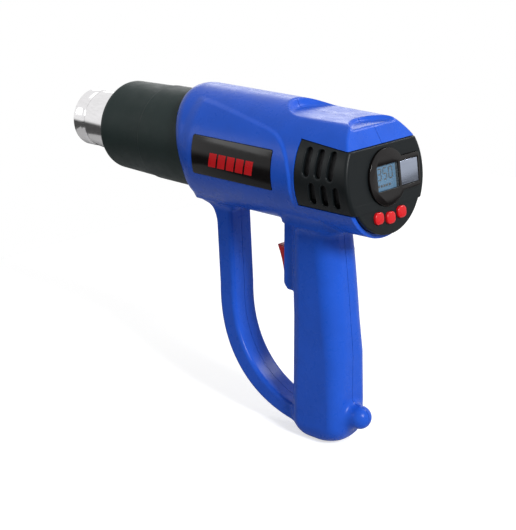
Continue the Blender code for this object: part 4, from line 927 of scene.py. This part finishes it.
def nozzle():
    """Cone with a rolled rim and a groove behind it, in one piece with the heater's tube."""
    tip = nozzle_low.x
    rim = tip + RIM_LENGTH
    tube = TUBE_FRONT_X
    rear = nozzle_high.x
    bead = [(tip + BEAD_R - BEAD_R * c, NECK_R + BEAD_R * s) for c, s in quarter_turn(15)]
    outer = [*bead, (tip + 2.2, RIM_R), (rim - 1.4, RIM_R), (rim - 0.6, RIM_R - 0.15),
             (rim - 0.1, RIM_R - 0.6), (rim + 0.2, NECK_R), (rim + 1.2, NECK_R), (rim + 1.6, NECK_R + 0.25),
             (rim + 2.2, NECK_R + 0.7), (rim + 3.0, 18.0), (tube - 4.8, 19.7), (tube - 1.0, 20.0),
             (tube, TUBE_R)]
    flange = [(rear - 1.0, TUBE_R), (rear - 1.0, FLANGE_R), (rear, FLANGE_R), (rear, TUBE_R - TUBE_WALL)]
    inner = [(tube + 0.8, TUBE_R - TUBE_WALL), (tube - 0.2, 19.1), (tube - 4.8, 18.8), (rim + 2.0, 17.0),
             (rim, 16.4), (tip + 1.2, 16.3), (tip + 0.3, 16.6)]
    made = smooth(turned(outer + flange + inner, 192, "nozzle"), 50.0)
    dressed(made, "nozzle_and_tube", CHROME, "housing", "polished_steel", "nozzle_tube")


# Side plates
BARS = 5
BAR_START = -17.2            # from the plate's middle
BAR_PITCH = 7.0
BAR_WIDE = 5.6
BAR_TALL = 8.2
BAR_LEAN = 1.6
BAR_LOW_H = -4.2


def motif(side, name):
    """A row of leaning bars, in place of lettering."""
    base = AXIS_Z + BAR_LOW_H
    top = base + BAR_TALL
    for i in range(BARS):
        x = (plate_low.x + plate_high.x) / 2 + BAR_START + BAR_PITCH * i
        outline = [(x, base), (x + BAR_WIDE, base), (x + BAR_WIDE + BAR_LEAN, top), (x + BAR_LEAN, top)]
        bar = curved_patch(side, outline, PANEL_TOP + 0.1, PANEL_TOP + 0.42, "bar")
        dressed(bar, f"plate_bar_{i + 1}_{name}", RED_PRINT, "housing", "red_plastic")


def side_plates():
    base = PANEL_TOP - PLATE_T + FIT
    for side, name in SIDES:
        plate = smooth(softened(plate_patch(side, 0.0, base, base + PLATE_T, "plate"), 0.22), 35.0)
        dressed(plate, f"name_plate_{name}", GLOSS, "housing", "gloss_black_plastic", f"side_plate_{name}")
        motif(side, name)


# Rear cover and display
WING_IN = 0.3                # how far the cover's wings lie inside the barrel's surface
WING_EDGE = 0.5
CHIN_UP = 5.0                # how far the chin's sleeve reaches up behind the face
CHIN_DEPTH = 6.0
CHIN_EDGE = 0.8
VENT_EDGE = 0.7
THROUGH = 8                  # depth of the cuts right through the face
FACE_OUT = Vector((math.cos(FACE_TILT), 0, math.sin(FACE_TILT)))
FACE_UP = Vector((-math.sin(FACE_TILT), 0, math.cos(FACE_TILT)))


def on_face(across, up, depth):
    """A point given across and up the rear face, and out of it."""
    return Vector((REAR_X, across, AXIS_Z)) + FACE_UP * up + FACE_OUT * depth


def face_prism(outline, depth_in, depth_out, name="face_prism"):
    return loft([[on_face(a, u, depth) for a, u in outline] for depth in (depth_in, depth_out)], name)


def rectangle(across, up, wide, tall):
    return [(across + a * wide / 2, up + b * tall / 2) for a, b in ((-1, -1), (1, -1), (1, 1), (-1, 1))]


def lined(radius, face, outer_r, edge):
    """A sleeve and the face that closes it, as thick as the cover, with a round edge between them."""
    skin = shared(radius - outer_r, face, edge)
    return np.maximum(skin, -np.maximum(radius - outer_r, face) - COVER_T)


def cover_form(x, y, z):
    """Two wings round the barrel's rear and a lower chin inside it, joined by the leaning face."""
    height = z - AXIS_Z
    radius = np.hypot(y, height)
    face = (x - REAR_X) * FACE_OUT.x + height * FACE_OUT.z
    wings = lined(radius, face, barrel_radius(x) - WING_IN, FACE_ROUND)
    wings = shared(wings, np.maximum(height - chord_height(x), COVER_X - x), WING_EDGE)
    wings = shared(wings, COVER_LOW_H - height, 0.4)
    chin = lined(radius, face, BARREL_REAR_R - WALL - FIT, CHIN_EDGE)
    chin = np.maximum(chin, np.maximum(height - COVER_LOW_H - CHIN_UP, REAR_X - CHIN_DEPTH - x))
    form = joined(wings, chin, 0.3)
    for vent_x, vent_h, tall in VENTS:
        beyond = np.maximum(np.abs(height - vent_h) - (tall - VENT_W) / 2, 0.0)
        slot = np.hypot(x - vent_x, beyond) - VENT_W / 2
        form = shared(form, -slot, VENT_EDGE)
    return form


def bezel_outline(grow=0.0):
    """Round on one side of the display and a band towards the other."""
    band = BEZEL_BAND + grow
    radius = BEZEL_R + grow
    start = math.degrees(math.asin(band / radius))
    end = BEZEL_REACH + grow - BEZEL_CORNER
    corner = band - BEZEL_CORNER
    return [*arc((0, 0), radius, start, 360 - start, 60), *arc((end, -corner), BEZEL_CORNER, -90, 0, 5),
            *arc((end, corner), BEZEL_CORNER, 0, 90, 5)]


def button_place(index):
    """Across and up the face, with the outer two a little higher."""
    return (index - 1) * BUTTON_PITCH, BUTTON_DROP + BUTTON_SMILE * abs(index - 1)


def rear_cover():
    """The vented cover, with openings for the display and the buttons."""
    reach = BARREL_R + 2
    top = AXIS_Z + 24
    cover = surface_of(cover_form, (COVER_X - 2, -reach, AXIS_Z - reach), (cover_high.x + 2, reach, top),
                       COVER_CELL, "cover")
    cut(cover, face_prism(bezel_outline(FIT), -1.0, THROUGH))
    cut(cover, face_prism(rectangle(0, 0, LCD_W + 1.0, LCD_H + 1.0), -THROUGH, THROUGH))
    for index in range(3):
        outline = rounded_rectangle(button_place(index), BUTTON_W / 2 + FIT, BUTTON_H / 2 + FIT,
                                    BUTTON_CORNER + FIT)
        cut(cover, face_prism(outline, -THROUGH, THROUGH))
    dressed(smooth(cover, 35.0), "vented_cover", BLACK, "housing", "black_plastic", "rear_cover")


def display():
    """Surround, window, bright plate and the crystal panel with its figures."""
    plate_x = PLATE_START + PLATE_W / 2
    bezel = face_prism(bezel_outline(), BEZEL_SEAT, BEZEL_T, "bezel")
    cut(bezel, face_prism(rounded_rectangle((0, 0), LCD_W / 2, LCD_H / 2, 0.8), -5, 5),
        face_prism(rectangle(plate_x, 0, PLATE_W, LCD_H), 0.2, 5))
    smooth(softened(bezel, 0.35), 30.0)
    dressed(bezel, "display_surround", GLOSS, "housing", "gloss_black_plastic", "display_bezel")
    outline = rounded_rectangle((0, 0), LCD_W / 2 - FIT, LCD_H / 2 - FIT, 0.6)
    window = face_prism(outline, BEZEL_SEAT, BEZEL_T - 0.3)
    smooth(softened(window, 0.15), 30.0)
    dressed(window, "clear_window", WINDOW, "housing", "window", "display_window")
    plate = face_prism(rectangle(plate_x, 0, PLATE_W - 2 * FIT, LCD_H - 2 * FIT), 0.5, BEZEL_T - 0.2)
    smooth(softened(plate, 0.3), 30.0)
    dressed(plate, "bright_plate", SILVER, "housing", "silver_plate", "display_side_plate")
    panel = face_prism(rectangle(0, 0, LCD_W + 0.4, LCD_H + 0.4), -3.2, LCD_DEPTH)
    dressed(panel, "liquid_crystal", LCD, "housing", "lcd", "lcd_panel")
    digits()


# The display's figures, each with the letters of its lit bars
SEGMENTS = {"3": "abgcd", "5": "afgcd", "0": "abcdef"}
DIGIT_WIDE = 2.3
DIGIT_TALL = 6.2
DIGIT_THICK = 0.75
DIGIT_PITCH = 4.9
DIGIT_UP = 1.9


def digit_segments(across, up):
    """Outlines of the seven bars of a figure, by letter."""
    half = DIGIT_TALL / 2
    left = across - DIGIT_WIDE / 2 - 0.35
    right = across + DIGIT_WIDE / 2 + 0.35
    flat = [(letter, rectangle(across, up + rise, DIGIT_WIDE, DIGIT_THICK))
            for letter, rise in (("a", half), ("g", 0), ("d", -half))]
    upright = [(letter, rectangle(side, up + rise, DIGIT_THICK, half - 0.5))
               for letter, side, rise in (("f", left, half / 2), ("b", right, half / 2),
                                          ("e", left, -half / 2), ("c", right, -half / 2))]
    return dict(flat + upright)


def digits():
    """A reading of 350 and a row of level blocks below it."""
    bars = []
    for place, figure in enumerate("350"):
        found = digit_segments(DIGIT_PITCH * (place - 1), DIGIT_UP)
        bars += [found[letter] for letter in SEGMENTS[figure]]
    bars += [rectangle(-6.0 + 2.4 * i, -4.6, 1.7, 1.3) for i in range(5)]
    marks, *others = [face_prism(outline, LCD_DEPTH - 0.05, LCD_DEPTH + 0.08, "marks") for outline in bars]
    add(marks, *others)
    dressed(marks, "display_figures", DIGIT, "housing", "lcd")


# A button's dome, as shares of its outline and heights above the face
BUTTON_DOME = [(1.0, -2.2), (1.0, 0.75), (0.985, 1.0), (0.94, 1.22), (0.85, 1.4), (0.66, 1.52), (0.4, 1.58),
               (0.15, 1.6)]


def buttons():
    """Domed caps with a round edge, each on a short stem."""
    outline = rounded_rectangle((0, 0), BUTTON_W / 2, BUTTON_H / 2, BUTTON_CORNER, 8)
    for index, name in enumerate(("down", "mode", "up")):
        across, up = button_place(index)
        cap = loft([[on_face(across + a * scale, up + u * scale, depth) for a, u in outline]
                    for scale, depth in BUTTON_DOME], "cap")
        add(cap, rod(on_face(across, up, -2.3), on_face(across, up, 0), 1.5))
        smooth(cap, 50.0)
        dressed(cap, f"{name}_key", RED, f"{name}_button", "red_plastic", f"button_{name}")


# Switch and cord inlet
PIVOT_X = PAD_X + 3.5
ROCKER_TILT = math.radians(15.0)
ROCKER_HALF = 11.5
ROCKER_HALF_W = 6.9
ROCKER_FRONT = -9.5          # from the pin, at the rocker's ends
ROCKER_HOLLOW = 1.2
ROCKER_REAR = 3.6
PIN_HALF = 8.2
BUSH_FLANGE_R = 6.8
BUSH_FLANGE_Z = HANDLE_BOTTOM_Z + 2.8
BUSH_FLANGE_T = 2.0
BUSH_BORE_R = 3.6


def rocker():
    """A rocker with a hollow front, its upper half out, on a short pin."""
    front = [(ROCKER_FRONT + ROCKER_HOLLOW * (1 - (i / 8) ** 2), ROCKER_HALF * i / 8) for i in range(-8, 9)]
    outline = []
    for a, b in [*front, (ROCKER_REAR, ROCKER_HALF * 0.52), (ROCKER_REAR, -ROCKER_HALF * 0.52)]:
        outline.append((PIVOT_X + a * math.cos(ROCKER_TILT) - b * math.sin(ROCKER_TILT),
                        SWITCH_Z + a * math.sin(ROCKER_TILT) + b * math.cos(ROCKER_TILT)))
    made = side_prism(outline, -ROCKER_HALF_W, ROCKER_HALF_W, "rocker")
    softened(made, 0.7, 4, 50.0)
    add(made, rod((PIVOT_X, -PIN_HALF, SWITCH_Z), (PIVOT_X, PIN_HALF, SWITCH_Z), 1.5, 16))
    dressed(smooth(made, 40.0), "rocker_cap", RED, "rocker", "red_plastic", "switch_rocker")


def inlet_bush():
    """A sleeve with a rounded mouth and a flange inside the handle's bottom."""
    low = gland_low.z
    seat = BUSH_FLANGE_Z
    top = seat + BUSH_FLANGE_T
    profile = [(BUSH_BORE_R, low + 0.5), (4.2, low), (4.8, low), (GLAND_R, low + 0.4), (GLAND_R, seat),
               (BUSH_FLANGE_R, seat), (BUSH_FLANGE_R, top), (GLAND_R, top), (GLAND_R, gland_high.z),
               (BUSH_BORE_R, gland_high.z)]
    rings = [[(GLAND_X + a, b, z) for a, b in circle(radius, 48)] for radius, z in profile]
    bush = smooth(loft(rings, "bush", closed=True), 35.0)
    dressed(bush, "cord_bush", RUBBER, "housing", "rubber", "cord_inlet_bush")


def inner_finishes():
    """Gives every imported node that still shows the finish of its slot."""
    finishes = {"blue_plastic": BLUE, "black_plastic": BLACK, "gloss_black_plastic": GLOSS,
                "red_plastic": RED, "polished_steel": CHROME, "zinc_steel": STEEL, "copper": COPPER,
                "mica": MICA, "nylon": NYLON, "board_green": BOARD, "lcd": LCD, "window": WINDOW,
                "silver_plate": SILVER, "rubber": RUBBER, "ferrite": MAGNET, "red_lead": RED}
    for name, node in frame["nodes"].items():
        for place in node.material_slots:
            slot = place.material.name.split(".")[0]
            place.material = SCREEN if name.startswith("intake_screen") else finishes.get(slot, BLACK)


# Camera, light and floor, in metres
AIM = Vector((-0.053, 0.0, 0.0094))
AZIMUTH = math.radians(42.5)
ELEVATION = math.radians(17.5)
DISTANCE = 0.900
SENSOR = 36.0
FOCAL_LENGTH = 1500.0        # in pixels of the photograph
FRAME_HEIGHT = 530.0
CARD = [(-0.42, -0.26), (0.36, -0.26), (0.36, 0.60), (-0.42, 0.60)]
CARD_DROP = 0.0002
CARD_SHADE = 0.55
CARD_GLOW = 0.64             # added for the camera alone
DIM = 0.25                   # strength of the plain fill
ROOM = (-0.22, -0.08, 0.08, 1.0)     # the mirrored room's rise from dark to bright, and both strengths


def camera():
    back = Vector((math.sin(AZIMUTH) * math.cos(ELEVATION), -math.cos(AZIMUTH) * math.cos(ELEVATION),
                   math.sin(ELEVATION)))
    data = bpy.data.cameras.new("camera")
    data.sensor_fit = "VERTICAL"
    data.sensor_height = SENSOR
    data.lens = SENSOR * FOCAL_LENGTH / FRAME_HEIGHT
    made = shown("camera", data)
    made.location = AIM + back * DISTANCE
    made.rotation_euler = back.to_track_quat("Z", "Y").to_euler()
    bpy.context.scene.camera = made


def area_light(name, place, aim, size, power):
    data = bpy.data.lights.new(name, "AREA")
    data.shape = "RECTANGLE"
    data.size, data.size_y = size
    data.energy = power
    made = shown(name, data)
    made.location = place
    made.rotation_euler = (Vector(place) - Vector(aim)).to_track_quat("Z", "Y").to_euler()


def floor():
    """A sheet of white card, which keeps its shadows and looks white to the camera."""
    bm = bmesh.new()
    corners = [bm.verts.new(Vector((x, y, cad_bounds[0][2] - CARD_DROP))) for x, y in CARD]
    bm.faces.new(corners)
    made = from_bmesh("floor", bm)
    material = bpy.data.materials.new("floor")
    material.use_nodes = True
    nodes = material.node_tree.nodes
    links = material.node_tree.links
    shader = nodes["Principled BSDF"]
    shader.inputs["Base Color"].default_value = (CARD_SHADE, CARD_SHADE, CARD_SHADE, 1.0)
    shader.inputs["Roughness"].default_value = 0.9
    shader.inputs["Emission Color"].default_value = (1.0, 1.0, 1.0, 1.0)
    path = nodes.new("ShaderNodeLightPath")
    glow = nodes.new("ShaderNodeMath")
    glow.operation = "MULTIPLY"
    glow.inputs[1].default_value = CARD_GLOW
    links.new(path.outputs["Is Camera Ray"], glow.inputs[0])
    links.new(glow.outputs[0], shader.inputs["Emission Strength"])
    made.data.materials.append(material)


def world():
    """White to the camera and through glass, a room that is dark below to gloss, and a dim plain fill."""
    made = bpy.data.worlds.new("world")
    made.use_nodes = True
    nodes = made.node_tree.nodes
    links = made.node_tree.links

    def math_of(operation, first, second):
        step = nodes.new("ShaderNodeMath")
        step.operation = operation
        for place, value in zip(step.inputs, (first, second)):
            if isinstance(value, float):
                place.default_value = value
            else:
                links.new(value, place)
        return step.outputs[0]

    path = nodes.new("ShaderNodeLightPath")
    direction = nodes.new("ShaderNodeSeparateXYZ")
    links.new(nodes.new("ShaderNodeTexCoord").outputs["Generated"], direction.inputs[0])
    room = nodes.new("ShaderNodeMapRange")
    room.interpolation_type = "SMOOTHSTEP"
    for name, value in zip(("From Min", "From Max", "To Min", "To Max"), ROOM):
        room.inputs[name].default_value = value
    links.new(direction.outputs["Z"], room.inputs["Value"])
    beyond_dim = math_of("SUBTRACT", room.outputs["Result"], DIM)
    reflected = math_of("MULTIPLY", path.outputs["Is Glossy Ray"], beyond_dim)
    seen = math_of("MAXIMUM", path.outputs["Is Camera Ray"], path.outputs["Is Transmission Ray"])
    strength = math_of("MAXIMUM", seen, math_of("ADD", reflected, DIM))
    links.new(strength, nodes["Background"].inputs["Strength"])
    nodes["Background"].inputs["Color"].default_value = (1.0, 1.0, 1.0, 1.0)
    bpy.context.scene.world = made


body_shells()
shell_screws()
guard()
nozzle()
side_plates()
rear_cover()
display()
buttons()
rocker()
inlet_bush()
inner_finishes()
camera()
area_light("key", (1.15, -0.34, 0.74), (-0.02, 0, 0.02), (0.32, 0.32), 20.5)
area_light("top", (-0.1, 0.1, 1.2), (-0.05, 0, 0), (0.9, 0.6), 1.5)
area_light("arc", (0.30, 0.85, 0.82), (-0.02, 0, 0.08), (0.3, 0.3), 3.5)
area_light("rim", (-0.75, 0.85, 0.42), (-0.05, 0, 0.05), (0.7, 0.35), 1.6)
area_light("fill", (-0.8, -0.9, 0.45), (-0.15, 0, 0.05), (0.6, 0.35), 1.8)
floor()
world()

bpy.context.scene.view_settings.view_transform = "Standard"
